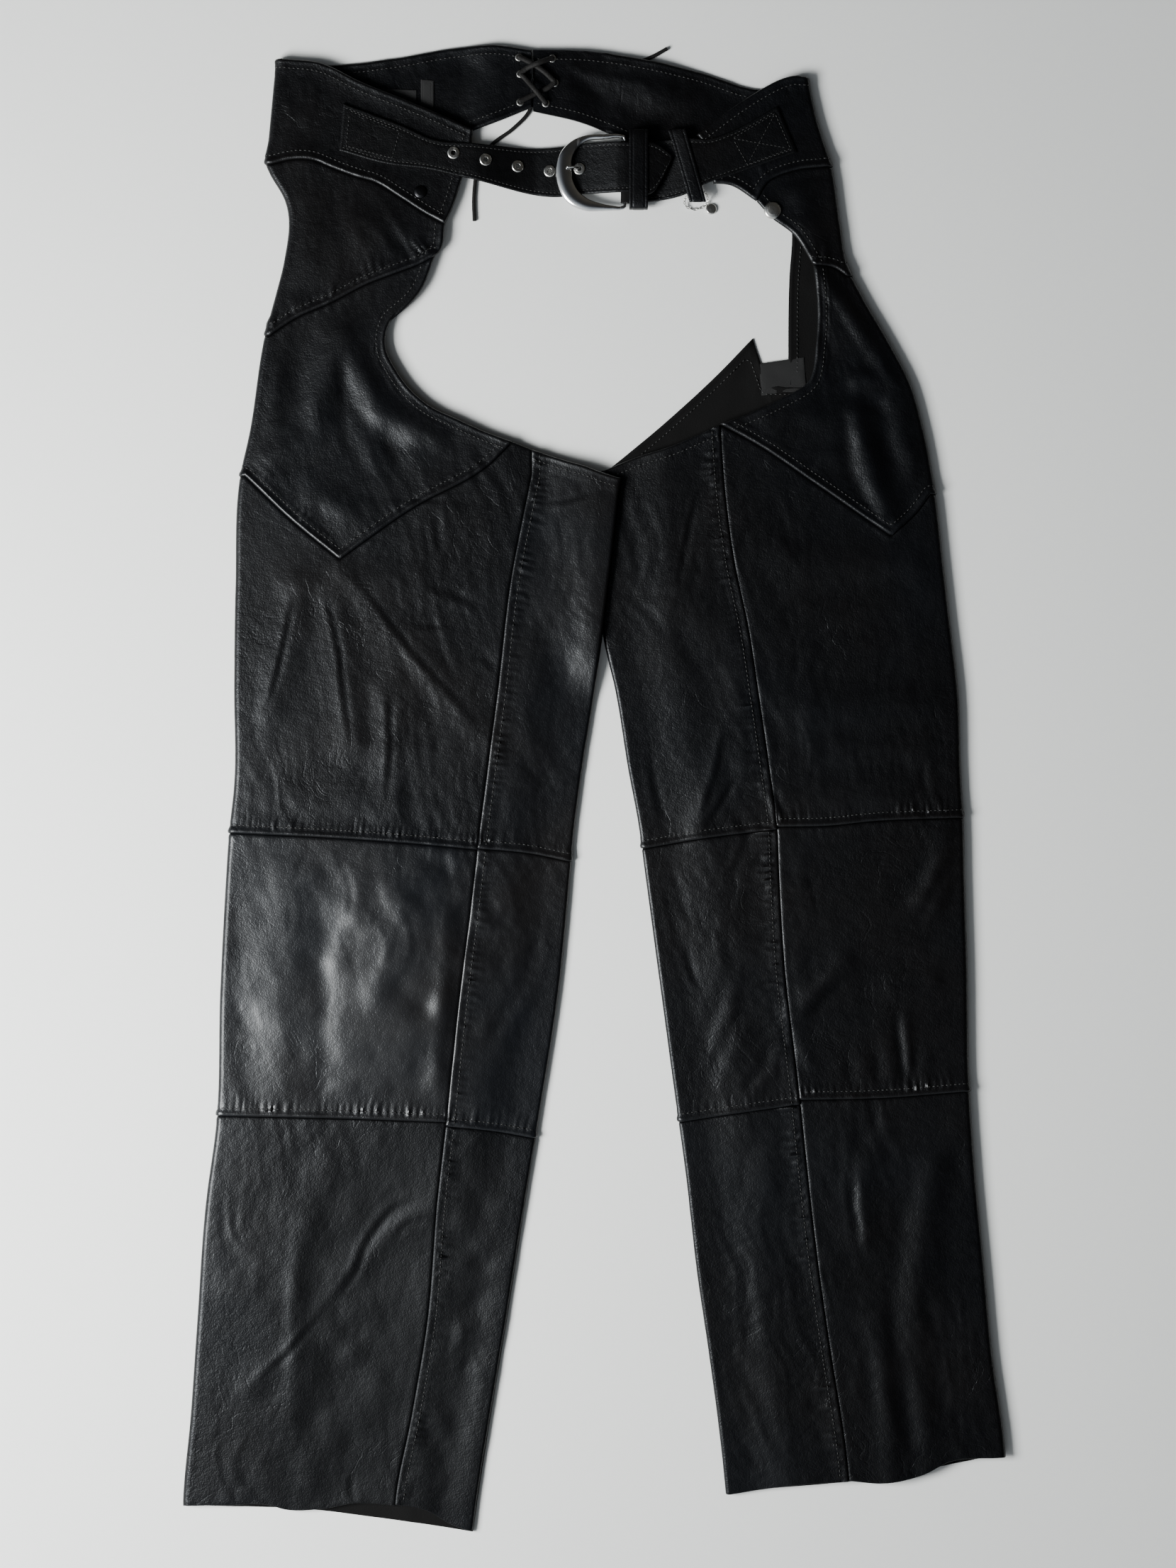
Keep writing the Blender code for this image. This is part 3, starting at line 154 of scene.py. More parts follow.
def route(points, count):
    """A given number of evenly spaced points on the smooth run through the points."""
    points = np.array(points, float)
    run = run_of(points)
    at = np.linspace(0.0, run[-1], count)
    return np.stack([through(run, column)(at) for column in points.T], 1)


def line(points, corners=(), step=1.5):
    """A smooth line with points a step apart, which turns sharply only at the named corners."""
    points = np.array(points, float)
    cuts = [0, *corners, len(points) - 1]
    pieces = []
    for a, b in zip(cuts, cuts[1:]):
        part = points[a:b + 1]
        pieces.append(route(part, max(2, round(run_of(part)[-1] / step) + 1))[(a > 0):])
    return np.concatenate(pieces)


# %% [markdown]
# ## The two loose ends of the lace
# A thin leather thong closes the back yoke, and its two ends lie loose above and below the lacing.
# They are limp and lie flat on the surface, so each is a single open curve with a round section.

# %% Loose lace ends
LACE_RADIUS = 1.5
LACE_ON_FLOOR = 1.6
LACE_STEPS = 40
LACE_ENDS = {
    "lace_end_top": ([(-40, 561), (-22, 566), (6, 570), (34, 569.5), (46, 574), (57, 580)], 0.100),
    "lace_end_low": ([(-47, 541), (-51, 531), (-64, 517), (-80, 505), (-90, 491), (-93.5, 475), (-94.5, 460),
                      (-94, 445)], 0.114),
}
cords = {}
for name, (points, length) in LACE_ENDS.items():
    spots = route([(x, y, LACE_ON_FLOOR) for x, y in points], LACE_STEPS)
    curve = bpy.data.curves.new(f"{name}_thong", "CURVE")
    curve.dimensions = "3D"
    curve.bevel_depth = LACE_RADIUS * MM
    curve.bevel_resolution = 4
    curve.use_fill_caps = True
    spline = curve.splines.new("POLY")
    spline.points.add(len(spots) - 1)
    spline.points.foreach_set("co", np.concatenate([spots * MM, np.ones((len(spots), 1))], 1).ravel())
    piece = place_piece(f"{name}_thong", curve, [name], "leather_thong")
    cords[name] = piece
    print(name, "runs", round(float(run_of(spots)[-1]), 1), "mm")

# %% [markdown]
# ## Floor and light
# The surface is a plain pale board. The sky is dark overhead and grows bright towards one side, low
# on the left, so that each gentle slope of the black leather gets its own tone. A soft lamp on the
# same side gives the shadows.

# %% Floor and lamps
FLOOR_SIZE = 8.0
floor_data = bpy.data.meshes.new("floor")
half = FLOOR_SIZE / 2
corners = [(-half, -half, 0), (half, -half, 0), (half, half, 0), (-half, half, 0)]
floor_data.from_pydata(corners, [], [(0, 1, 2, 3)])
floor = linked("floor", floor_data)

LAMP_PLACE, LAMP_TARGET = (-1.16, -0.30, 1.04), (-0.1, 0.0, 0.0)
LAMP_SIZE, LAMP_POWER, LAMP_COLOR = (0.72, 0.64), 80.0, (0.985, 1.0, 0.985)
SKY_AXIS = (-0.66, -0.75, 0.0)
SKY = (  # how far a direction leans along the axis, from 0 at -1 to 1 at +1, and the light there
    (0.00, (0.07, 0.065, 0.055)), (0.44, (0.018, 0.018, 0.018)), (0.50, (0.026, 0.028, 0.032)),
    (0.56, (0.10, 0.11, 0.13)), (0.70, (0.42, 0.46, 0.49)), (0.85, (0.80, 0.86, 0.90)),
    (1.00, (0.95, 1.01, 1.05)),
)

light = bpy.data.lights.new("window", "AREA")
light.shape = "RECTANGLE"
light.size, light.size_y = LAMP_SIZE
light.energy, light.color = LAMP_POWER, LAMP_COLOR
lamp = linked("window", light)
lamp.location = LAMP_PLACE
lamp.rotation_euler = (Vector(LAMP_TARGET) - Vector(LAMP_PLACE)).to_track_quat("-Z", "Y").to_euler()

world = bpy.data.worlds.new("sky")
world.use_nodes = True
nodes, links = world.node_tree.nodes, world.node_tree.links
lean = nodes.new("ShaderNodeVectorMath")
lean.operation = "DOT_PRODUCT"
lean.inputs[1].default_value = SKY_AXIS
links.new(nodes.new("ShaderNodeTexCoord").outputs["Generated"], lean.inputs[0])
share = nodes.new("ShaderNodeMapRange")
share.inputs["From Min"].default_value = -1.0
links.new(lean.outputs["Value"], share.inputs["Value"])
ramp = nodes.new("ShaderNodeValToRGB")
for index, (position, color) in enumerate(SKY):
    stop = ramp.color_ramp.elements[0] if index == 0 else ramp.color_ramp.elements.new(position)
    stop.position, stop.color = position, (*color, 1.0)
ramp.color_ramp.elements.remove(ramp.color_ramp.elements[-1])
links.new(share.outputs["Result"], ramp.inputs[0])
links.new(ramp.outputs["Color"], nodes["Background"].inputs["Color"])
nodes["Background"].inputs["Strength"].default_value = 1.0
bpy.context.scene.world = world
print("lamp:", lamp.name)

# %% [markdown]
# ## Materials as expressions
# A material is a small sum: grain plus wrinkles, lighter on rises for wear and a painted sheen, and
# darker in the hollows as painted shade. Wrapping a node's socket in a class with operators lets that
# sum be written as Python, and each operator adds the Math node that does the work.


# %% Sockets with operators
class Value:
    """A socket of numbers; operators on it add Math nodes."""

    def __init__(self, finish, socket):
        self.finish, self.socket = finish, socket

    def math(self, operation, *others):
        return self.finish.math(operation, self, *others)

    def __add__(self, other):
        return self.math("ADD", other)

    def __sub__(self, other):
        return self.math("SUBTRACT", other)

    def __rsub__(self, other):
        return self.finish.math("SUBTRACT", other, self)

    def __mul__(self, other):
        return self.math("MULTIPLY", other)

    __radd__, __rmul__ = __add__, __mul__

    def clamped(self):
        return self.math("MINIMUM", 1.0).math("MAXIMUM", 0.0)


class Finish:
    """One material under construction."""

    def __init__(self, name, **shader):
        self.material = bpy.data.materials.new(name)
        self.material.use_nodes = True
        self.nodes, self.links = self.material.node_tree.nodes, self.material.node_tree.links
        self.shader = self.nodes["Principled BSDF"]
        self.place = self.node("ShaderNodeTexCoord").outputs["Object"]
        for key, value in shader.items():
            self.feed(self.shader.inputs[key.replace("_", " ")], value)

    def feed(self, socket, value):
        """A number, a colour, a node's output or a Value goes into a socket."""
        value = value.socket if isinstance(value, Value) else value
        if isinstance(value, bpy.types.NodeSocket):
            self.links.new(value, socket)
        else:
            socket.default_value = value

    def node(self, kind, settings=(), **inputs):
        """A node of a kind; its settings come first, then the values or links of its sockets."""
        made = self.nodes.new(kind)
        for key, value in dict(settings).items():
            setattr(made, key, value)
        for key, value in inputs.items():
            self.feed(made.inputs[int(key[1:]) if key[1:].isdigit() else key.replace("_", " ")], value)
        return made

    def math(self, operation, *terms):
        inputs = {f"n{i}": term for i, term in enumerate(terms)}
        made = self.node("ShaderNodeMath", {"operation": operation}, **inputs)
        return Value(self, made.outputs[0])

    def noise(self, scale, detail=3.0, roughness=0.55, place=None, distortion=0.0):
        made = self.node("ShaderNodeTexNoise", Vector=place or self.place, Scale=scale, Detail=detail,
                         Roughness=roughness, Distortion=distortion)
        return Value(self, made.outputs["Fac"])

    def cells(self, scale):
        made = self.node("ShaderNodeTexVoronoi", {"feature": "SMOOTH_F1"}, Vector=self.place, Scale=scale)
        return Value(self, made.outputs["Distance"])

    def stretched(self, scale, turn):
        """Object coordinates, turned about Z and stretched along an axis."""
        made = self.node("ShaderNodeMapping", Vector=self.place, Rotation=(0.0, 0.0, turn), Scale=scale)
        return made.outputs["Vector"]

    def measure(self, name):
        """A number that the mesh carries at each point."""
        made = self.node("ShaderNodeAttribute", {"attribute_name": name, "attribute_type": "GEOMETRY"})
        return Value(self, made.outputs["Fac"])

    def between(self, value, low, high):
        """0 below low, 1 above high, and straight between."""
        made = self.node("ShaderNodeMapRange", {"clamp": True}, Value=value, From_Min=low, From_Max=high)
        return Value(self, made.outputs["Result"])

    def mix(self, amount, first, second):
        """From the first colour to the second."""
        made = self.node("ShaderNodeMix", {"data_type": "RGBA"}, n0=amount, n6=first, n7=second)
        return made.outputs[2]

    def bump(self, height, distance, strength):
        """Height in parts of a distance, in metres, felt as a slope of the surface."""
        made = self.node("ShaderNodeBump", Height=height, Distance=distance, Strength=strength)
        self.links.new(made.outputs["Normal"], self.shader.inputs["Normal"])

    def set(self, **sockets):
        for key, value in sockets.items():
            self.feed(self.shader.inputs[key.replace("_", " ")], value)
        return self.material


# %% [markdown]
# ## Black leather
# Finished hide has a fine pebble, a soft unevenness a few millimetres across, and a low sheen that is
# duller in the hollows and brighter on rubbed rises. Its colour carries painted light too: painted shade
# darkens the hollows, and a painted sheen lightens the rises and some whole panels. Here and there the
# sheen turns bluish or brownish. The pebble is Voronoi cells about a millimetre across.


# %% Leather finishes
PEBBLES, DIMPLES, WAVES, PATCHES = 1000.0, 150.0, 38.0, 9.0  # features to a metre
HAIRLINES, RUBBED_SPOTS, TINTS = 26.0, 12.0, 5.5
RELIEF = 0.00010  # metres for 1 of the bump's height


def leather(name, dark, light, roughness, gloss):
    """Black leather: painted shade in the hollows and a lighter colour on rises for wear and painted sheen,
    with a sheen that comes and goes.
    """
    made = Finish(name, Coat_Roughness=0.34, Specular_IOR_Level=0.19, Specular_Tint=(0.92, 0.95, 1.0, 1.0))
    grain = made.cells(PEBBLES)
    soft = made.noise(DIMPLES, 4.0, 0.65)
    uneven = made.noise(WAVES, 3.0, 0.5)
    patches = made.noise(PATCHES, 4.0, 0.65)
    wear_and_sheen = made.measure("wear_and_sheen")
    hollow_shade = made.measure("hollow_shade")
    # painted light in the colour: darker in the hollows as painted shade, lighter on rises for wear and a
    # painted sheen
    shade = (patches * 1.1 + soft * 0.35 + wear_and_sheen * 0.9 - hollow_shade * 0.8 - 0.42).clamped()
    hue = made.between(made.noise(TINTS, 3.0), 0.38, 0.62)
    red, green, blue, _ = light
    tone = made.mix(hue, (red * 0.86, green, blue * 1.22, 1.0), (red * 1.25, green, blue * 0.86, 1.0))
    bent = made.noise(HAIRLINES, 3.0, 0.5, distortion=1.4)
    hairs = made.between((bent - 0.5).math("ABSOLUTE"), 0.0, 0.022)
    hairs = (1.0 - hairs) * made.between(made.noise(RUBBED_SPOTS, 2.0), 0.46, 0.62)
    made.bump(soft * 4.0 + uneven * 6.0 - grain * 1.5 - hairs * 1.0, RELIEF, 1.0)
    made.set(Coat_Weight=(gloss + (patches - 0.5) * 0.7 - hollow_shade * 0.4 + wear_and_sheen * 0.45).clamped())
    dull = roughness + soft * 0.14 + hollow_shade * 0.10 - wear_and_sheen * 0.06 - patches * 0.10
    return made.set(Base_Color=made.mix(shade, dark, tone), Roughness=dull.clamped())


def flesh_side(name):
    """The unfinished inner side: matt, fibrous and a little browner."""
    made = Finish(name, Specular_IOR_Level=0.12)
    nap = made.noise(900.0, 4.0, 0.7)
    cloud = made.noise(24.0, 3.0)
    made.bump(nap + cloud * 0.4, 0.0004, 0.6)
    shade = (nap * 0.6 + cloud * 0.6 - 0.1).clamped()
    return made.set(Base_Color=made.mix(shade, (0.0010, 0.0010, 0.0011, 1.0), (0.0032, 0.0030, 0.0030, 1.0)),
                    Roughness=(0.74 + nap * 0.18).clamped())


LEATHER = leather("black_leather", (0.0005, 0.0005, 0.0007, 1.0), (0.0026, 0.0027, 0.0031, 1.0),
                  roughness=0.38, gloss=0.03)
STRAP_LEATHER = leather("belt_leather", (0.0005, 0.0005, 0.0006, 1.0), (0.0024, 0.0023, 0.0024, 1.0),
                        roughness=0.40, gloss=0.03)
EDGE_LEATHER = flesh_side("flesh_side")
print("leathers:", LEATHER.name, STRAP_LEATHER.name, EDGE_LEATHER.name)


# %% [markdown]
# ## Thread, thong, cloth and metal
# The thread is a waxed black twist, the thong is a narrow strip of soft hide, the labels are plain
# woven tape, and the metal is plated: bright chrome on the buckle, softer nickel on the small parts.


# %% Small finishes
def thread_finish():
    made = Finish("waxed_thread", Specular_IOR_Level=0.4)
    twist = made.noise(3000.0, 1.0)
    made.bump(twist, 0.00015, 0.6)
    return made.set(Base_Color=made.mix(twist, (0.0022, 0.0022, 0.0024, 1.0), (0.012, 0.012, 0.012, 1.0)),
                    Roughness=0.42 + twist * 0.2)


def thong_finish():
    made = Finish("lace_thong", Specular_IOR_Level=0.22)
    fibre = made.noise(700.0, 4.0, 0.65)
    wear = made.noise(90.0, 2.0)
    made.bump(fibre, 0.0005, 0.7)
    shade = (fibre * 0.7 + wear * 0.5 - 0.2).clamped()
    return made.set(Base_Color=made.mix(shade, (0.0018, 0.0016, 0.0016, 1.0), (0.0048, 0.0042, 0.0040, 1.0)),
                    Roughness=0.55 + fibre * 0.25)


def plated(name, color, roughness):
    """Plated metal with a faint haze and hairline scratches."""
    made = Finish(name, Metallic=1.0)
    smear = made.noise(60.0, 4.0, 0.6)
    scratch = made.between(made.noise(420.0, 2.0, 0.5, made.stretched((1.0, 0.06, 1.0), 0.7)), 0.58, 0.72)
    dull = tuple(c * 0.72 for c in color[:3]) + (1.0,)
    made.bump(scratch + smear * 0.3, 0.00004, 0.5)
    return made.set(Base_Color=made.mix(made.between(smear, 0.35, 0.75), color, dull),
                    Roughness=(roughness + smear * 0.12 + scratch * 0.12).clamped())


THREADS = 9000.0  # radians to a metre


def woven(name, dark, light):
    """Plain woven tape: warp and weft as two sine waves, 0.7 mm to a pair of threads."""
    made = Finish(name, Specular_IOR_Level=0.3, Sheen_Weight=0.05)
    ways = made.node("ShaderNodeSeparateXYZ", Vector=made.place)
    across, along = Value(made, ways.outputs["X"]), Value(made, ways.outputs["Y"])
    warp = made.math("SINE", across * THREADS)
    weft = made.math("SINE", along * THREADS)
    weave = (warp * weft + 1.0) * 0.5
    made.bump(weave, 0.00018, 0.8)
    return made.set(Base_Color=made.mix(weave, dark, light), Roughness=0.62 + weave * 0.15)


THREAD = thread_finish()
THONG = thong_finish()
CHROME = plated("chrome_plate", (0.80, 0.80, 0.80, 1.0), 0.10)
NICKEL = plated("nickel_plate", (0.66, 0.65, 0.62, 1.0), 0.20)
BLACK_METAL = plated("black_oxide", (0.035, 0.035, 0.038, 1.0), 0.22)
TAPE = woven("woven_tape", (0.0016, 0.0016, 0.0018, 1.0), (0.0065, 0.0065, 0.007, 1.0))
CARE_TAPE = woven("care_tape", (0.0014, 0.0014, 0.0016, 1.0), (0.0055, 0.0055, 0.0060, 1.0))
for piece in cords.values():
    piece.data.materials.append(THONG)


def board():
    made = Finish("pale_board", Specular_IOR_Level=0.3)
    speck = made.noise(160.0, 4.0, 0.6)
    made.bump(speck, 0.0002, 0.15)
    return made.set(Base_Color=made.mix(speck, (0.700, 0.706, 0.698, 1.0), (0.730, 0.735, 0.724, 1.0)),
                    Roughness=0.72)


floor.data.materials.append(board())
print("finishes:", len(bpy.data.materials))

# %% [markdown]
# ## The outline of each leg
# A leg is described every few centimetres by three places across it: the outer fold, the long
# vertical seam and the inseam fold. The front leather stands on two folds, higher outside than in.

# %% Leg sections and heights
LEATHER_WALL = 1.3
BAND_WALL = 2.0
HALF_GAP = 0.16
SEAT = 0.3
OUTER_FOLD = 4.5
INNER_FOLD = 3.0
FOLD_STEPS = 7
EDGE_FADE = 22.0
LOW_EDGE = 18.0
LOW_BLEND = 38.0
LIFT, LIFT_RAMP, LIFT_MARGIN, LIFT_LOW_Y, LIFT_FULL_Y = 6.5, 46.0, 2.0, 60.0, 100.0
MERGE = 4.0
FOLD_SHARE = 0.42  # the broad folds lie lower here than in the solid
CREASE_SHARE = 0.5

Section = namedtuple("Section", "y outer seam inner", defaults=(None, None))
Crease = namedtuple("Crease", "x0 y0 x1 y1 width height")

RIGHT_SECTIONS = [Section(*row) for row in (
    (-581, -322, -157, -95), (-560, -322, -156, -92), (-490, -316, -143, -81), (-418, -311, -131, -69),
    (-323, -304, -123, -54), (-262, -296, -116, -44), (-160, -293, -105, -28), (-80, -289, -95, -20),
    (-35, -286, -90, -16), (4, -282, -85, -11), (81, -282, -75, 1), (158, -281, -66, 11),
    (246, -277, -49, 21), (278, -270), (354, -258), (388, -249), (412, -243), (462, -243), (481, -254),
    (488, -257), (509, -255), (572, -249),
)]
LEFT_SECTIONS = [Section(*row) for row in (
    (-553, 323, 200, 103), (-523, 322, 197, 100), (-438, 311, 184, 89), (-383, 306, 176, 81),
    (-298, 298, 166, 71), (-240, 294, 160, 63), (-136, 292, 148, 49), (-69, 290, 144, 40),
    (-25, 289, 142, 34), (12, 287, 137, 27), (74, 285, 128, 17), (126, 279, 120, 6), (178, 273, 109, 5),
    (230, 267, 102, 5), (284, 257, 98, 3), (318, 247), (347, 232), (385, 210), (407, 199), (440, 193),
    (486, 186), (522, 175), (557, 167),
)]
RIGHT_FOLDS = [Crease(*row) for row in (
    (-196, 352, -168, 294, 13, 5.5), (-168, 294, -126, 276, 12, 4.5), (-196, 352, -218, 292, 12, 5.0),
    (-218, 292, -256, 252, 13, 3.5), (-232, 356, -236, 280, 13, -1.5), (-232, 410, -172, 440, 20, 3.5),
    (-216, 226, -182, 212, 16, 2.5), (-232, 155, -255, 60, 14, 3.0), (-205, 150, -190, 40, 14, 2.5),
    (-199, 170, -85, 38, 11, 2.0), (-160, 80, -158, -10, 14, 2.5), (-238, -70, -243, -230, 16, 3.0),
    (-210, -110, -214, -235, 9, -1.4), (-150, -90, -170, -160, 12, 2.5), (-115, -100, -124, -228, 9, 3.0),
    (-130, -325, -180, -365, 10, 2.5), (-180, -365, -268, -468, 10, 2.0), (-228, -340, -236, -490, 13, 2.5),
    (-290, -390, -230, -402, 12, 1.5),
)]
LEFT_FOLDS = [Crease(*row) for row in (
    (176, 404, 232, 328, 11, 6.5), (232, 328, 256, 262, 11, 5.5), (204, 292, 216, 254, 10, 6.0),
    (216, 254, 232, 209, 10, 5.0), (224, 300, 233, 240, 8, -1.4), (140, 284, 184, 288, 16, 3.5),
    (206, 319, 234, 318, 8, 4.0), (160, 462, 180, 430, 12, 2.5), (110, 90, 116, 20, 12, 3.0),
    (104, 50, 80, -34, 9, 2.5), (150, 178, 266, 172, 16, 2.5), (160, 60, 270, 66, 15, 2.5),
    (157, -174, 196, -138, 10, 3.0), (234, -155, 262, -149, 10, 2.5), (277, -38, 260, -84, 12, 2.5),
    (206, -289, 212, -354, 11, 3.0), (265, -298, 250, -436, 12, 3.0), (218, -416, 233, -537, 11, 3.0),
    (253, -450, 262, -530, 9, 2.0),
)]


# %% [markdown]
# ## Creases placed one by one
# These are the lines in the leather that can be named: where it was folded for years, where it pulls
# from a corner, where it bags at the knee. A crease has a ridge and, on the right-hand side of the
# way it runs, a trough; below 0 it is a sharp furrow with its ridge beside it.

# %% Creases
Mark = namedtuple("Mark", "width height trough points")


def marks(*rows):
    """Rows of width, height and share of trough, then x, y, x, y of the places the crease runs through."""
    return [Mark(*row[:3], np.reshape(row[3:], (-1, 2))) for row in rows]


RIGHT_MARKS = marks(  # the first two only tilt the knee and the calf; the rest go down the leg
    (60.0, 9.0, 0.0, -150, -20, -160, -140, -178, -268),
    (70.0, -9.0, 0.0, -140, -230, -150, -400, -160, -640),
    (11.0, 1.0, 0.6, -205, 556, -170, 545, -140, 531),
    (7.0, 0.8, 0.8, -246, 527, -226, 524, -206, 528),
    (6.0, 0.8, 0.9, -150, 522, -128, 512, -106, 508),
    (4.0, 1.0, 0.8, -134, 530, -120, 521, -104, 516),
    (5.0, 0.6, 0.7, -212, 515, -222, 500, -236, 492),
    (9.0, 1.0, 0.8, -223, 473, -226, 440, -234, 400, -240, 374),
    (10.0, 0.8, 0.6, -196, 462, -188, 436, -182, 416),
    (6.0, 0.7, 0.8, -164, 458, -150, 440, -132, 432),
    (5.0, 0.7, 0.8, -158, 442, -144, 428, -128, 424),
    (9.0, 1.2, 0.9, -197, 356, -185, 330, -168, 298, -150, 286, -130, 276, -124, 256),
    (9.0, 1.0, 0.8, -200, 354, -212, 334, -217, 304, -218, 290),
    (8.0, 1.0, 0.8, -270, 250, -246, 264, -224, 272, -212, 282, -206, 300),
    (9.0, 1.2, 0.7, -214, 232, -198, 220, -186, 210),
    (7.0, 0.8, 0.8, -186, 296, -176, 262, -170, 240),
    (8.0, 1.0, 0.8, -150, 286, -142, 266, -150, 244),
    (7.0, 0.8, 0.7, -262, 336, -266, 300, -268, 262),
    (8.0, 1.0, 0.8, -240, 346, -250, 310, -256, 280, -262, 262),
    (2.0, -0.7, 0.5, -206, 230, -150, 226, -100, 224, -54, 220),
    (13.0, 1.2, 0.5, -272, 148, -240, 160, -190, 163, -134, 156, -92, 146),
    (2.6, -1.0, 0.5, -232, 158, -240, 120, -248, 84, -256, 56),
    (2.6, -1.0, 0.5, -214, 166, -200, 118, -194, 70, -188, 22),
    (2.6, -1.2, 0.5, -198, 180, -170, 146, -140, 106, -108, 72, -80, 36),
    (3.0, -1.0, 0.5, -160, 88, -158, 40, -162, -20),
    (3.4, -1.2, 0.5, -136, 162, -110, 152, -84, 141),
    (3.0, -0.9, 0.5, -146, 132, -126, 128, -108, 132),
    (12.0, 0.9, 0.9, -276, 24, -240, 30, -200, 34, -150, 26, -100, 28),
    (10.0, 0.7, 0.7, -276, -14, -236, -8, -196, -12, -150, -8),
    (3.0, -1.0, 0.5, -98, 96, -90, 104, -74, 92),
    (12.0, 1.0, 0.7, -40, 170, -28, 130, -14, 104),
    (8.0, 0.7, 0.8, -64, 60, -48, 36, -30, 14, -20, -12),
    (2.4, -0.8, 0.5, -46, 223, -20, 226, 8, 236),
    (15.0, 1.6, 0.6, -254, -60, -258, -110, -252, -170, -240, -240),
    (13.0, 0.85, 0.8, -196, -74, -190, -120, -196, -170, -204, -236),
    (10.0, 0.75, 0.8, -124, -76, -142, -110, -156, -146, -172, -176),
    (6.0, 0.25, 0.9, -112, -86, -114, -130, -119, -176, -124, -232, -135, -249),
    (6.0, 1.0, 1.0, -140, -48, -112, -52, -98, -60),
    (9.0, 1.0, 0.8, -62, -76, -58, -130, -72, -200),
    (6.0, 0.8, 0.9, -34, -100, -46, -150, -70, -196, -90, -230),
    (3.4, -1.8, 0.5, -124, -323, -144, -325, -160, -334, -175, -354, -190, -385, -212, -412),
    (2.6, -1.0, 0.5, -205, -402, -228, -430, -245, -448, -270, -471),
    (3.0, -1.1, 0.5, -126, -338, -146, -342, -158, -356),
    (5.0, 0.5, 0.6, -228, -336, -236, -394, -236, -450, -237, -496),
    (2.6, -0.9, 0.5, -304, -386, -268, -391, -236, -401),
    (12.0, 1.0, 0.7, -200, -276, -216, -310, -228, -340),
    (13.0, 0.8, 0.6, -160, -420, -170, -470, -180, -520, -184, -556),
    (3.0, -0.9, 0.5, -187, -530, -189, -545, -189, -562),
    (7.0, 0.8, 0.8, -128, -474, -118, -500, -104, -530),
    (8.0, 0.9, 0.9, -112, -396, -92, -384, -70, -370),
    (9.0, 0.8, 0.8, -88, -300, -76, -330, -74, -360),
    (6.0, 0.7, 0.8, -244, -470, -222, -478, -206, -478),
)
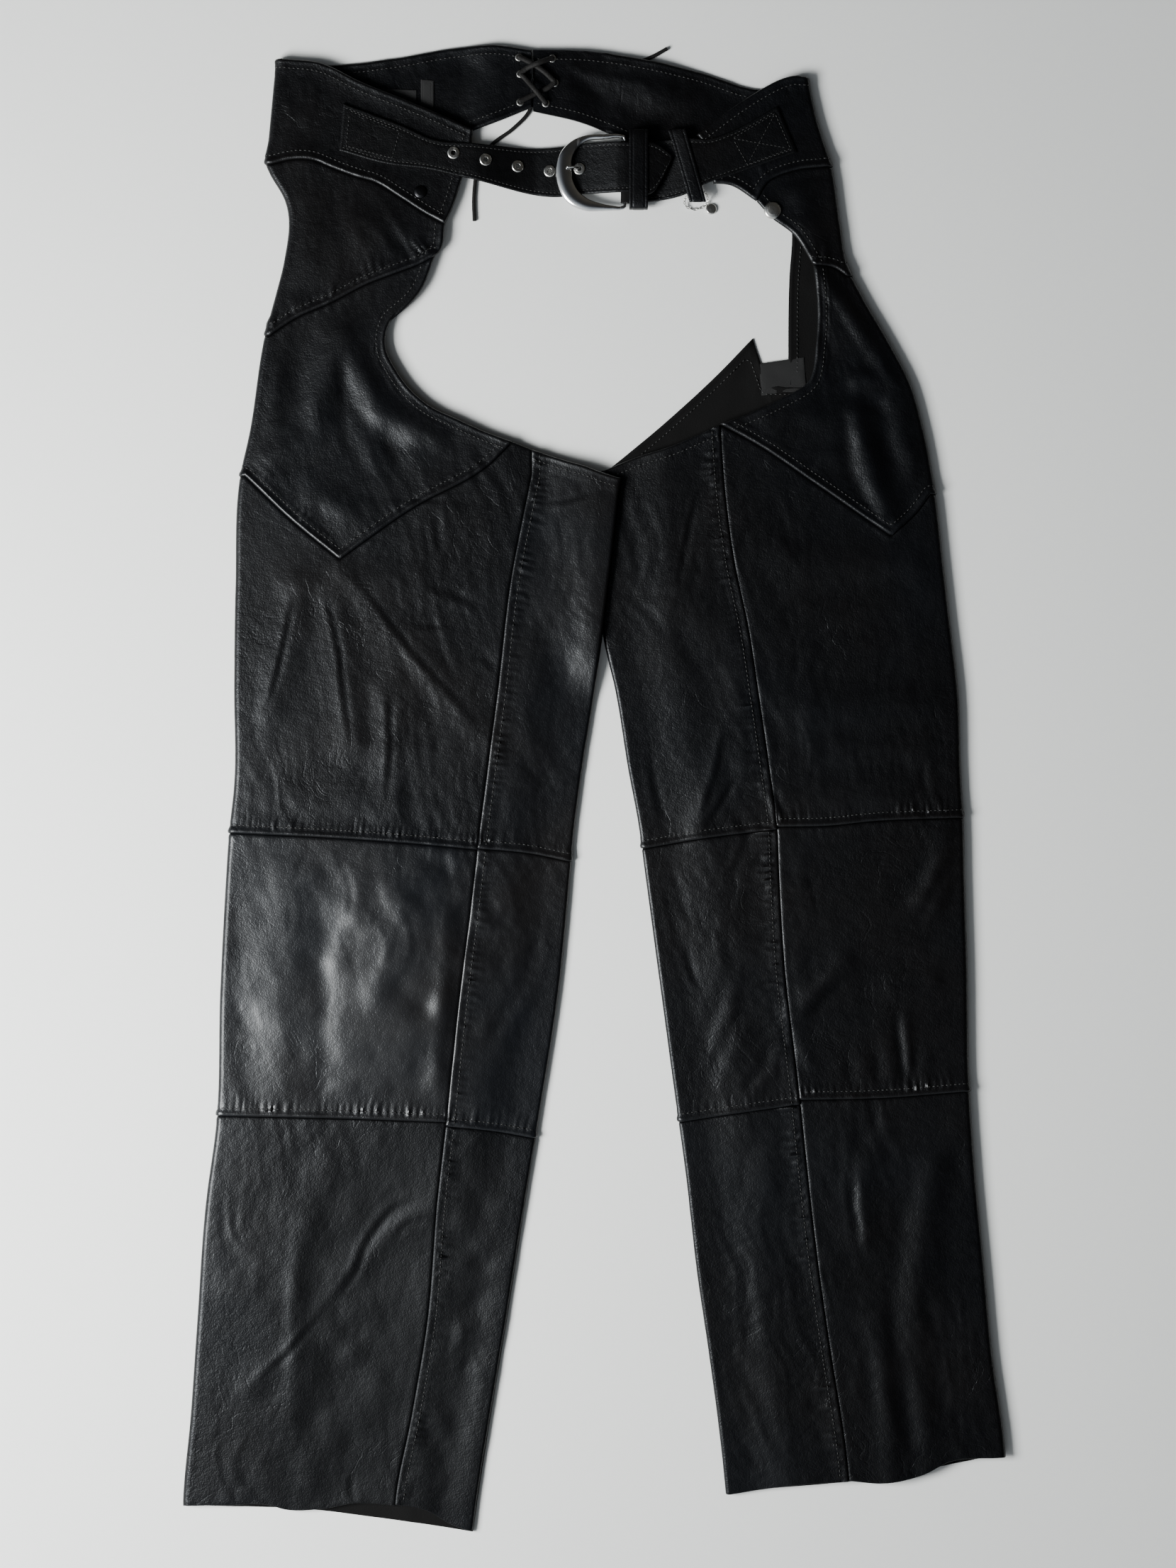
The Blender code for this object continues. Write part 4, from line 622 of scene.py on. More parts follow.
LEFT_MARKS = marks(
    (8.0, 0.8, 0.7, 150, 541, 132, 528, 114, 512),
    (5.0, 0.7, 0.8, 112, 504, 98, 494, 92, 482),
    (5.0, 0.7, 0.8, 176, 540, 170, 520, 176, 500),
    (6.0, 0.8, 0.8, 182, 474, 164, 466, 148, 458),
    (7.0, 1.2, 0.9, 140, 458, 156, 446, 176, 424, 190, 404),
    (7.0, 1.1, 1.0, 174, 408, 196, 380, 218, 350, 236, 322, 252, 286, 260, 258),
    (7.0, 1.0, 0.8, 178, 382, 190, 356, 204, 334),
    (6.0, 1.1, 1.0, 206, 319, 220, 322, 236, 326),
    (6.0, 0.9, 1.0, 208, 307, 222, 306, 238, 300),
    (6.0, 1.2, 1.0, 201, 296, 208, 272, 210, 250, 220, 228, 234, 206),
    (8.0, 0.9, 0.8, 228, 292, 242, 268, 254, 240),
    (8.0, 1.0, 0.8, 138, 286, 160, 294, 186, 286),
    (7.0, 0.8, 0.8, 150, 262, 176, 258, 198, 264),
    (11.0, 1.0, 0.8, 130, 152, 170, 160, 206, 172, 262, 190),
    (10.0, 0.8, 0.8, 150, 130, 196, 136, 252, 150),
    (11.0, 0.9, 0.8, 160, 62, 210, 66, 276, 72),
    (9.0, 0.8, 0.8, 166, 26, 220, 30, 280, 34),
    (8.0, 0.8, 0.8, 148, -10, 210, -8, 284, -4),
    (6.0, 0.8, 0.9, 164, 76, 168, 40, 172, 6),
    (3.0, -1.4, 0.5, 136, 6, 143, -8, 151, -26),
    (14.0, 1.2, 0.6, 40, 176, 70, 146, 100, 116, 112, 76),
    (3.0, -1.1, 0.5, 104, 52, 96, 10, 82, -34),
    (2.6, -1.0, 0.5, 113, 10, 100, -12, 85, -33),
    (2.6, -0.9, 0.5, 84, 240, 74, 200, 66, 150),
    (3.4, -1.1, 0.5, 42, 36, 50, -6, 56, -34),
    (5.0, 1.2, 1.0, 157, -176, 172, -160, 196, -138),
    (5.0, 0.9, 1.0, 158, -184, 164, -204, 176, -226),
    (2.4, -0.9, 0.5, 230, -156, 244, -153, 264, -148),
    (7.0, 1.2, 0.9, 282, -34, 272, -58, 256, -84, 238, -104),
    (5.0, 0.9, 0.9, 284, -58, 272, -84, 256, -112),
    (4.0, 1.4, 1.0, 243, -166, 245, -200, 249, -234),
    (5.0, 0.8, 0.9, 226, -190, 230, -212, 232, -238),
    (5.0, 0.8, 0.9, 262, -204, 258, -220, 256, -236),
    (5.0, 0.8, 0.9, 206, -196, 210, -220, 212, -240),
    (3.0, -1.1, 0.5, 70, -116, 76, -142, 84, -164),
    (6.0, 0.8, 0.9, 128, -170, 108, -206, 94, -244),
    (6.0, 0.8, 0.9, 118, -130, 104, -180, 86, -226),
    (5.0, 0.8, 0.9, 148, -206, 134, -226, 120, -248),
    (8.0, 1.0, 0.9, 236, -250, 222, -280, 208, -310),
    (4.0, 1.3, 1.0, 206, -290, 210, -330, 215, -366),
    (9.0, 1.0, 0.9, 264, -284, 256, -340, 249, -390, 250, -440),
    (9.0, 1.3, 0.9, 290, -268, 300, -290, 306, -320),
    (7.0, 1.0, 0.9, 222, -404, 228, -470, 236, -536),
    (8.0, 1.0, 0.9, 250, -442, 258, -490, 263, -530),
    (6.0, 0.8, 0.9, 262, -380, 270, -400, 276, -420),
    (3.0, -1.1, 0.5, 303, -388, 312, -374, 316, -362),
    (9.0, 1.0, 0.8, 142, -264, 134, -300, 140, -330),
    (8.0, 0.7, 0.8, 108, -430, 124, -450, 150, -480),
    (7.0, 0.7, 0.8, 104, -506, 124, -510, 146, -528),
)
print("creases:", len(RIGHT_MARKS), len(LEFT_MARKS))


# %% [markdown]
# ## Wrinkles
# Broad folds are ridges about straight runs. Between them worn leather is never flat: a stretched,
# bent noise gives long uneven wrinkles. The noise hashes the corners of a lattice, so every run
# of the script gives the same hide.


# %% Noise and runs
def corner_value(i, j, seed):
    """A number from -1 to 1 for each corner of a lattice: the fraction of a large sine."""
    h = np.sin(i * 127.1 + j * 311.7 + seed * 74.7) * 43758.5453
    return 2.0 * (h - np.floor(h)) - 1.0


def noise(x, y, seed=0):
    """Smooth noise from -1 to 1: the corner values of a unit lattice, eased between."""
    i, j = np.floor(x), np.floor(y)
    s, t = ease(x - i), ease(y - j)
    low = corner_value(i, j, seed) * (1 - s) + corner_value(i + 1, j, seed) * s
    high = corner_value(i, j + 1, seed) * (1 - s) + corner_value(i + 1, j + 1, seed) * s
    return low * (1 - t) + high * t


def wrinkled(x, y, seed, length=46.0, width=13.0, turn=0.25):
    """Long soft wrinkles: ridged noise on coordinates that are turned, stretched and bent."""
    u = (x * math.cos(turn) + y * math.sin(turn)) / width
    v = (-x * math.sin(turn) + y * math.cos(turn)) / length
    u = u + 0.9 * noise(x / 38.0, y / 38.0, seed + 1)
    v = v + 0.7 * noise(x / 44.0, y / 44.0, seed + 2)
    coarse = 1.0 - 2.0 * np.abs(noise(u, v, seed + 3))
    fine = 1.0 - 2.0 * np.abs(noise(u * 2.3, v * 2.1, seed + 4))
    return 0.65 * coarse + 0.35 * fine


def away_from(path, x, y, sided=False):
    """Distance from a line of points, and the run along it to the nearest place.

    With sided, the distance is below 0 on the right-hand side of the way the line runs.
    """
    path = np.asarray(path, float)[:, :2]
    start, leg = path[:-1], np.diff(path, axis=0)
    long = np.maximum((leg**2).sum(1), 1e-9)
    run = run_of(path)[:-1]
    px, py = np.ravel(x)[:, None] - start[:, 0], np.ravel(y)[:, None] - start[:, 1]
    t = np.clip((px * leg[:, 0] + py * leg[:, 1]) / long, 0.0, 1.0)
    gap = (px - t * leg[:, 0]) ** 2 + (py - t * leg[:, 1]) ** 2
    nearest = gap.argmin(1)
    row = np.arange(len(nearest))
    away = np.sqrt(gap[row, nearest])
    if sided:
        right = leg[nearest, 0] * py[row, nearest] < leg[nearest, 1] * px[row, nearest]
        away = away * np.where(right, -1.0, 1.0)
    at = run[nearest] + t[row, nearest] * np.sqrt(long[nearest])
    return away.reshape(np.shape(x)), at.reshape(np.shape(x))


CREASE_STEPS = 14
CREASE_FADE = 0.35  # share of the length over which each end fades
TROUGH_AT, TROUGH_WIDTH = 1.7, 0.9  # in widths of the crease


def crease(x, y, mark):
    """A crease along a line: a ridge h e^-(d/w)^2, a trough on one side of it, fading at both ends."""
    path = route(mark.points, CREASE_STEPS)
    length = run_of(path)[-1]
    d, run = away_from(path, x, y, sided=True)
    run = run + 3.0 * noise(x / 13.0, y / 13.0, 8)
    d = d + 0.22 * mark.width * noise(x / 17.0, y / 17.0, 9)
    fade = ease(run / (CREASE_FADE * length)) * ease((length - run) / (CREASE_FADE * length))
    ridge = bell(d / mark.width)
    trough = bell((d + TROUGH_AT * mark.width) / (TROUGH_WIDTH * mark.width))
    return mark.height * fade * (ridge - mark.trough * trough)


class Leg:
    """One side of the chaps: its outline, its vertical seam and the height of its front leather."""

    def __init__(self, sections, folds, marks, inward, seed, lies_over=None):
        self.inward, self.folds, self.marks = inward, folds, marks
        self.lies_over, self.seed, self.still = lies_over, seed, []
        whole = [s for s in sections if s.inner is not None]
        self.outer = through([s.y for s in sections], [s.outer for s in sections])
        self.seam = through([s.y for s in whole], [s.seam for s in whole])
        self.inner = through([s.y for s in whole], [s.inner for s in whole])

    def outer_end(self, y):
        return self.outer(y) + self.inward * OUTER_FOLD, y

    def inner_end(self, y):
        return self.inner(y) - self.inward * INNER_FOLD, y

    def seam_end(self, y):
        return self.seam(y), y

    def side(self, end_of, top, bottom):
        """A line down a fold or a seam, from one height to another."""
        y = np.linspace(float(top), float(bottom), max(3, round(abs(top - bottom) / 1.5)))
        return np.stack(end_of(y), 1)

    def outer_side(self, top, bottom):
        """The outer fold between the lines at a panel's top and bottom."""
        return self.side(self.outer_end, top[0][1], bottom[0][1])

    def inner_side(self, top, bottom):
        return self.side(self.inner_end, top[-1][1], bottom[-1][1])

    def lift(self, x, y):
        """How far this leg is raised where it lies over the other one's inseam."""
        if self.lies_over is None:
            return 0.0 * (x + y)
        start = self.lies_over.inner(y) - LIFT_MARGIN - LIFT_RAMP
        return LIFT * ease((x - start) / LIFT_RAMP) * ease((y - LIFT_LOW_Y) / (LIFT_FULL_Y - LIFT_LOW_Y))

    def folding(self, x, y):
        """Broad ridges and troughs about straight runs; where two of a kind meet they merge."""
        kinds = {1: 0.0 * x, -1: 0.0 * x}
        for c in self.folds:
            away, _ = away_from([(c.x0, c.y0), (c.x1, c.y1)], x, y)
            kinds[1 if c.height > 0 else -1] += (abs(c.height) * bell(away / c.width)) ** MERGE
        return FOLD_SHARE * (kinds[1] ** (1 / MERGE) - kinds[-1] ** (1 / MERGE))

    def edges(self, x, y):
        """Distance in from the outer fold and from the inseam fold."""
        return self.inward * (x - self.outer(y)), self.inward * (self.inner(y) - x)

    def base(self, x, y):
        """Height of the front as the solid has it."""
        from_outer, from_inner = self.edges(x, y)
        rise = 2 * (OUTER_FOLD - INNER_FOLD) * ease((from_inner - LOW_EDGE) / LOW_BLEND)
        fade = ease((from_outer - OUTER_FOLD) / EDGE_FADE) * ease((from_inner - LOW_EDGE) / EDGE_FADE)
        return 2 * INNER_FOLD + rise + fade * self.folding(x, y) + self.lift(x, y)

    def calm(self, x, y):
        """1 where the leather may wrinkle, and near 0 under the belt and the snaps."""
        free = 1.0 + 0.0 * x
        for path, reach in self.still:
            away, _ = away_from(path, x, y)
            free = np.minimum(free, ease((away - reach) / 10.0))
        return free

    def creased(self, x, y):
        """The creases, and wrinkles that come and go between them, on the broad folds."""
        from_outer, from_inner = self.edges(x, y)
        fade = ease((from_outer - 1.0) / 16.0) * (0.35 + 0.65 * ease((from_inner - 4.0) / 26.0))
        long = wrinkled(x, y, self.seed)
        short = wrinkled(x, y, self.seed + 20, 24.0, 9.0, -0.9)
        busy = ease(0.5 + 1.1 * noise(x / 70.0, y / 90.0, self.seed + 30))
        placed = sum(crease(x, y, mark) for mark in self.marks)
        loose = (0.10 + 0.30 * busy) * long + (0.04 + 0.14 * busy) * short
        return fade * self.calm(x, y) * (loose + CREASE_SHARE * placed)

    def front(self, x, y):
        return self.base(x, y) + self.creased(x, y)


LEFT = Leg(LEFT_SECTIONS, LEFT_FOLDS, LEFT_MARKS, inward=-1, seed=3)
RIGHT = Leg(RIGHT_SECTIONS, RIGHT_FOLDS, RIGHT_MARKS, inward=1, lies_over=LEFT, seed=40)
SIDES = {"right": RIGHT, "left": LEFT}
print("right leg is", round(float(RIGHT.inner(0) - RIGHT.outer(0))), "mm across at mid thigh")

# %% [markdown]
# ## A net between four lines
# A panel is cut to four edges. A net stretched between them (a Coons patch) puts every row and
# column in place: it is the sum of the two ways of bridging the edges, less the corners, which
# would count twice. Rows crowd together at the seams, where the leather rolls over.

# %% Nets and edges
EDGE_STEPS = np.array([0.0, 0.3, 0.7, 1.2, 1.9, 2.8, 4.0, 5.4, 6.9])
NET_STEP = (1.8, 3.0)  # across and down; gathers along a seam need close columns
INNER_STEP = (1.9, 1.75)  # the inner panels gather along their side, and need close rows


def graded(length, step, ends=(True, True)):
    """Stops from 0 to 1, close together at the ends that are seams and a step apart between."""
    reach = EDGE_STEPS[-1]
    head = EDGE_STEPS if ends[0] else np.zeros(1)
    tail = EDGE_STEPS if ends[1] else np.zeros(1)
    middle = np.linspace(head[-1], length - tail[-1], max(4, round((length - 2 * reach) / step) + 1))
    return np.concatenate([head[:-1], middle, length - tail[-2::-1] if len(tail) > 1 else []]) / length


def at_run(path, run, at):
    """Points of a line at distances along its run."""
    return np.stack([np.interp(at, run, column) for column in path.T], 1)


def along(path, stops):
    """Points at shares of a line's run."""
    run = run_of(path)
    return at_run(path, run, stops * run[-1])


def net(top, bottom, left, right, a, b):
    """Plan positions between four lines: (1-b)T + bB + (1-a)L + aR - corners."""
    t, u = along(top, a)[None], along(bottom, a)[None]
    v, w = along(left, b)[:, None], along(right, b)[:, None]
    a, b = a[None, :, None], b[:, None, None]
    corners = (1 - a) * ((1 - b) * t[:, :1] + b * u[:, :1]) + a * ((1 - b) * t[:, -1:] + b * u[:, -1:])
    spots = (1 - b) * t + b * u + (1 - a) * v + a * w - corners
    return spots[..., 0], spots[..., 1]


# %% [markdown]
# ## Closed walls of leather
# Leather is a wall with an outer and an inner side. Both sides are grids of the same size, so the
# rim is a band of faces wherever a kept cell meets none. Leaving cells out makes holes that close
# themselves in the same way.


# %% Grid to mesh
SHARP_RIM = math.radians(50)


def wall_mesh(name, outer, inner, finishes, keep=None, measures=()):
    """A closed wall between two grids of points, in millimetres."""
    rows, columns = outer.shape[:2]
    under = rows * columns  # from a point of the outer side to its fellow on the inner side
    keep = np.ones((rows - 1, columns - 1), bool) if keep is None else keep
    number = np.arange(under).reshape(rows, columns)
    cell = (number[:-1, :-1], number[:-1, 1:], number[1:, 1:], number[1:, :-1])
    over_faces = np.stack([c[keep] for c in cell], 1)
    under_faces = np.stack([c[keep] + under for c in cell[::-1]], 1)
    padded = np.pad(keep, 1).astype(int)
    rims = []
    for axis, first in ((0, 1), (1, -1)):  # the lines between rows, then those between columns
        change = np.diff(padded, axis=axis)[:, 1:-1] if axis == 0 else np.diff(padded, axis=axis)[1:-1]
        for sign in (1, -1):
            i, j = np.nonzero(change == sign)
            a, b = number[i, j], number[i + axis, j + 1 - axis]
            a, b = (a, b) if sign == first else (b, a)
            rims.append(np.stack([a, a + under, b + under, b], 1))
    rim_faces = np.concatenate(rims)
    faces = np.concatenate([over_faces, under_faces, rim_faces])
    points = np.concatenate([outer.reshape(-1, 3), inner.reshape(-1, 3)])
    a, b, c = (points[over_faces[:, k]] for k in (0, 1, 3))
    out = points[over_faces].mean(1) - points[over_faces + under].mean(1)
    if np.sum(np.cross(b - a, c - a) * out) < 0:
        faces = faces[:, ::-1]
    used, faces = np.unique(faces, return_inverse=True)
    faces = faces.reshape(-1, 4)
    data = mesh_of(name, points[used], faces, finishes, SHARP_RIM)
    side = np.concatenate([np.zeros(len(over_faces)), np.ones(len(under_faces) + len(rim_faces))])
    if len(finishes) > 1:
        data.polygons.foreach_set("material_index", side.astype(np.int32))
    for key, values in dict(measures).items():
        both = np.concatenate([values.ravel(), 0 * values.ravel()])  # the inner side carries none
        data.attributes.new(key, "FLOAT", "POINT").data.foreach_set("value", both[used].astype(np.float32))
    data.update()
    return data


# %% [markdown]
# ## What an edge does to the leather
# A seam shows long before its stitches do. The edge rolls over, the doubled leather behind it
# stands up as a band, the stitches pull a groove, and beyond them the leather gathers in short
# puckers across the seam. Where a panel runs under its neighbour it only dips.

# %% Edge styles
Edge = namedtuple("Edge", "radius drop bead raised stitch groove pucker reach pitch")
EDGES = {
    "lap": Edge(1.1, 1.0, 0.75, 0.60, 6.0, 0.95, 1.15, 12.0, 4.6),
    "ribbed": Edge(1.1, 1.0, 0.85, 0.55, 6.0, 0.70, 2.00, 13.0, 6.4),
    "pulled": Edge(1.1, 1.0, 0.85, 0.65, 6.0, 0.95, 1.30, 9.0, 4.4),
    "bunched": Edge(1.1, 1.0, 0.80, 0.60, 6.0, 0.90, 1.40, 12.0, 5.6),
    "ruched": Edge(1.1, 0.75, 0.30, 0.50, 6.0, 0.90, 2.10, 11.0, 5.5),
    "under": Edge(2.6, 1.0, 0.0, 0.0, 0.0, 0.0, 0.35, 9.0, 6.0),
    "free": Edge(1.2, 0.9, 0.55, 0.50, 8.0, 0.55, 0.40, 8.0, 5.0),
    "raw": Edge(0.5, 0.3, 0.0, 0.0, 0.0, 0.0, 0.30, 12.0, 15.0),
    "fold": None,
    "plain": Edge(0.6, 0.35, 0.0, 0.0, 0.0, 0.0, 0.0, 1.0, 1.0),
}
BEAD_AT, BEAD_WIDTH, GROOVE_WIDTH = 2.0, 1.4, 1.1
STITCH_PITCH = 3.6


def relief(style, away, run, seed):
    """Height by distance from an edge: rounded lip, bead, raised band, stitched groove and gathers."""
    lip = -style.drop * rounding(away, style.radius)
    bead = style.bead * bell((away - BEAD_AT) / BEAD_WIDTH)
    band = style.raised * (1.0 - ease((away - style.stitch) / 4.0))
    dip = 0.6 + 0.4 * np.cos(2 * math.pi * run / STITCH_PITCH)
    groove = -style.groove * dip * bell((away - style.stitch) / GROOVE_WIDTH)
    bent = run + 2.2 * noise(away / 9.0, run / 19.0, seed + 5) + 1.6 * noise(run / 7.0, 0.0 * run, seed + 6)
    ribs = (0.5 + 0.5 * np.cos(2 * math.pi * bent / style.pitch)) ** 1.6
    uneven = 0.75 + 0.5 * noise(run / style.pitch, 0.0 * run + 3.0, seed)
    grow = ease((away - 0.45 * style.stitch) / 3.0)
    length = style.reach * (1.0 + 0.5 * noise(run / (2.1 * style.pitch), 0.0 * run, seed + 11))
    gathers = style.pucker * uneven * ribs * grow * (1.0 - ease((away - style.stitch) / length))
    patchy = 0.70 + 0.42 * noise(run / 34.0, 0.0 * run, seed + 9)
    return lip + bead + band + groove + gathers * patchy


print("edge styles:", ", ".join(EDGES))

# %% [markdown]
# ## The lines of the pattern
# These are the seams and free edges of each leg, by the places they pass through. A line turns
# sharply only at its named corners, such as the tip of the pointed panel and the back's peak.


# %% Seam and edge lines
def from_fold(leg, y, *points, corners=()):
    """A line from the outer fold at a height, through the points."""
    return line([leg.outer_end(y), *points], corners)


RIGHT_POINT = ((-236, 209), (-199, 179), (-142, 219), (-81, 254), (-64, 271))
LEFT_POINT = ((254, 218), (232, 197), (170, 240), (130, 267))
LEFT_WAIST = ((157, 483), (136, 474), (127, 459))
LINES = {
    "right": {
        "waist_top": from_fold(RIGHT, 570.5, (-214, 567), (-182, 552), (-147, 538), (-116, 525), (-95, 515)),
        "waist_free": line([(-95, 515), (-98, 493), (-104, 476), (-110, 457), (-117, 441)]),
        "waist_seam": from_fold(RIGHT, 488, (-237, 491.5), (-220, 491), (-205, 485), (-186, 478),
                                (-172, 474), (-152, 462), (-130, 448), (-117, 441)),
        "hip_free": line([(-117, 441), (-121, 420), (-125, 416)]),
        "hip_seam": from_fold(RIGHT, 354, (-234, 367), (-205, 380), (-178, 394), (-152, 404), (-134, 411),
                              (-125, 416)),
        "crotch": line([(-125, 416), (-136, 389), (-147, 376), (-158, 367.5), (-163, 356), (-163, 344),
                        (-155, 327), (-143, 311), (-127, 298), (-110, 290), (-88, 280), (-64, 271)]),
        "point_seam": from_fold(RIGHT, 244, *RIGHT_POINT, corners=(2,)),
        "thigh_top": from_fold(RIGHT, 244, *RIGHT_POINT, RIGHT.seam_end(265.0), corners=(2, 5)),
        "inner_top": line([RIGHT.seam_end(265.0), (-22, 256), (-8, 252), (4, 247.5), RIGHT.inner_end(243.0)]),
        "knee_outer_top": from_fold(RIGHT, -35, (-200, -39), (-121, -45), RIGHT.seam_end(-48.0)),
        "knee_inner_top": line([RIGHT.seam_end(-47.0), (-50, -51), RIGHT.inner_end(-57.0)]),
        "calf_outer_top": from_fold(RIGHT, -256, (-200, -258), RIGHT.seam_end(-261.0)),
        "calf_inner_top": line([RIGHT.seam_end(-264.0), (-80, -268), RIGHT.inner_end(-273.5)]),
        "hem_outer": from_fold(RIGHT, -560.5, (-288, -560), (-252, -560.5), (-244, -563), (-212, -563),
                               (-188, -559), RIGHT.seam_end(-561.0)),
        "hem_inner": line([RIGHT.seam_end(-560.0), (-134, -564), (-112, -576), RIGHT.inner_end(-581.0)]),
    },
    "left": {
        "waist_top": from_fold(LEFT, 556.5, (160, 557), (145, 554), (133, 548), (112, 535), (80, 511)),
        "waist_free": line([(80, 511), (89, 500), (93, 473)]),
        "waist_bottom": from_fold(LEFT, 486, *LEFT_WAIST, (105, 472), (93, 473), corners=(3,)),
        "hip_free": line([(127, 459), (139, 446), (155, 434), (171, 409)]),
        "waist_seam": from_fold(LEFT, 486, *LEFT_WAIST),
        "hip_seam": from_fold(LEFT, 400.5, (187, 407), (171, 409)),
        "crotch": line([(171, 409), (174, 379), (173, 346), (167, 318), (146, 305), (120, 293), (98, 285)]),
        "point_seam": from_fold(LEFT, 230, *LEFT_POINT, (98, 285), corners=(2,)),
        "thigh_top": from_fold(LEFT, 230, *LEFT_POINT, LEFT.seam_end(284.5), corners=(2,)),
        "inner_top": line([LEFT.seam_end(284.0), (82, 277), (58, 267), (35, 260), LEFT.inner_end(249.0)]),
        "knee_outer_top": from_fold(LEFT, -23, (214, -26), (186, -29), LEFT.seam_end(-30.0)),
        "knee_inner_top": line([LEFT.seam_end(-32.0), (80, -40), LEFT.inner_end(-47.0)]),
        "calf_outer_top": from_fold(LEFT, -237, (225, -242), LEFT.seam_end(-243.5)),
        "calf_inner_top": line([LEFT.seam_end(-247.0), (119, -253), LEFT.inner_end(-261.0)]),
        "hem_outer": from_fold(LEFT, -523, (278, -526), (255, -537), (224, -543), LEFT.seam_end(-541.0)),
        "hem_inner": line([LEFT.seam_end(-541.5), (153, -545), LEFT.inner_end(-552.5)]),
    },
}
print("seam lines:", {side: len(lines) for side, lines in LINES.items()})

# %% [markdown]
# ## A panel
# A panel is the net, lifted to the height of its leg, with the relief of its edges added, and then
# carried round the folds that it reaches. The inner side follows straight below the outer one.

# %% Panels
Panel = namedtuple("Panel", "outer inner away piece")
panels = {}


def fold_columns(crest, y, base, radius, inward, wall, facing, extra):
    """The quarter turn of a fold, from its crest up to the flat leather."""
    turn = np.linspace(0, math.pi / 2, FOLD_STEPS + 1)[None, :-1]
    crest, y, base, extra = crest[:, None], y[:, None] + 0 * turn, base[:, None], extra[:, None]
    sides = []
    for r in (radius + extra, radius - wall + extra):
        x = crest + inward * (radius - r * np.cos(turn))
        z = base + radius + facing * (HALF_GAP + (r - HALF_GAP) * np.sin(turn))
        sides.append(np.stack([x, y, z], -1))
    return sides


# the colour darkens in hollows as painted shade and lightens on rises for wear and a painted sheen; these
# gains set how fast
HOLLOW_GAIN, WEAR_SHEEN_GAIN = 0.45, 0.20  # how soon a hollow is deep and a rise rubbed, to a millimetre
CREST_REACH = 1.2  # a crease is carried round a fold up to this height
STEEPEST = 1.6  # a slope thickens the wall's height by no more than this


def leather_panel(node, leg, edges, styles, folds=("outer",), wall=LEATHER_WALL, facing=1, height=None,
                  step=NET_STEP, slot="black_leather", seed=0, painted_sheen=0.0, finishes=(LEATHER, EDGE_LEATHER)):
    """Leather between four lines (top, bottom, left, right), with a style of edge on each.

    It faces up (1) or down (-1), at the given height or else at that of the leg's front.
    """
    seams = [style != "fold" for style in styles]
    runs = [run_of(edge)[-1] for edge in edges]
    a = graded((runs[0] + runs[1]) / 2, step[0], seams[2:])
    b = graded((runs[2] + runs[3]) / 2, step[1], seams[:2])
    x, y = net(*edges, a, b)
    away, extra = [], 0.0 * x
    for k, (edge, style) in enumerate(zip(edges, styles)):
        gap, at = away_from(edge, x, y)
        away.append(gap)
        if EDGES[style] is not None:
            extra = extra + relief(EDGES[style], gap, at, seed + 7 * k)
    level = (height or leg.front)(x, y)
    flat = leg.base(x, y) if height is None else level
    z = level + extra if facing > 0 else level + np.maximum(-extra, 0.0)
    step_x = np.gradient(x, axis=1)
    slope_x = np.gradient(z, axis=1) / np.where(np.abs(step_x) < 1e-3, 1e9, step_x)
    drop = facing * wall * np.minimum(np.sqrt(1 + slope_x**2), STEEPEST)
    if facing < 0:
        from_outer, from_inner = leg.edges(x, y)
        drop = drop - extra * ease(from_outer / 9.0 - 0.5) * ease(from_inner / 9.0 - 0.3)
    outer, inner = np.stack([x, y, z], -1), np.stack([x, y, z - drop], -1)
    # the first measure paints shade into the colour of the hollows; the second lightens the colour of rises,
    # for wear and a painted sheen, and of whole panels given a painted sheen
    hollow_shade = np.clip((flat - z) * HOLLOW_GAIN * facing, 0.0, 1.0)
    wear_and_sheen = np.clip((z - flat) * WEAR_SHEEN_GAIN * facing + painted_sheen, 0.0, 1.0)
    for kind, radius, fold_of, way in (("outer", OUTER_FOLD, leg.outer, 1),
                                       ("inner", INNER_FOLD, leg.inner, -1)):
        if kind not in folds:
            continue
        col = 0 if way > 0 else -1
        base = leg.lift(x[:, col], y[:, col])
        over = (z[:, col] - base - 2 * radius) if facing > 0 else -(z[:, col] - base)
        turned = fold_columns(fold_of(y[:, col]), y[:, col], base, radius, way * leg.inward, wall, facing,
                              np.clip(over, -CREST_REACH, CREST_REACH))

        def join(grid, more):
            """The fold's columns go before the grid's first one or after its last."""
            return np.concatenate([more, grid][::way], 1)

        outer, inner = (join(grid, more[:, ::way]) for grid, more in zip((outer, inner), turned))
        hollow_shade, wear_and_sheen, *away = (join(g, np.repeat(g[:, [col]], FOLD_STEPS, 1)) for g in (hollow_shade, wear_and_sheen, *away))
    name = f"leather_{node}"
    data = wall_mesh(name, outer, inner, finishes, measures={"wear_and_sheen": wear_and_sheen, "hollow_shade": hollow_shade})
    panels[node] = Panel(outer, inner, away, place_piece(name, data, [node], slot))


# %% Front panels
# places under a strap and under a snap, with how far to each side the leather is held still
RIGHT.still += [([(-196, 516), (-150, 501), (-126, 496), (-97, 490)], 21.0),
                ([(-136, 466), (-136.5, 466)], 6.0)]
LEFT.still += [([(86, 490), (107, 496), (132, 508), (151, 515)], 21.0),
               ([(139, 451.5), (139.5, 451.5)], 8.0)]
SEEDS = {"right": (100, 700, 1200), "left": (400, 900, 1201)}  # front, back and yoke
# painted sheen: the colour and coat of whole panels made lighter (above 0) or darker (below 0), for how the
# light falls on them
PANEL_SHEEN = {  # outer and inner panel
    ("thigh", "right"): (0.0, 0.38), ("knee", "right"): (0.30, 0.50), ("calf", "right"): (-0.25, -0.1)}

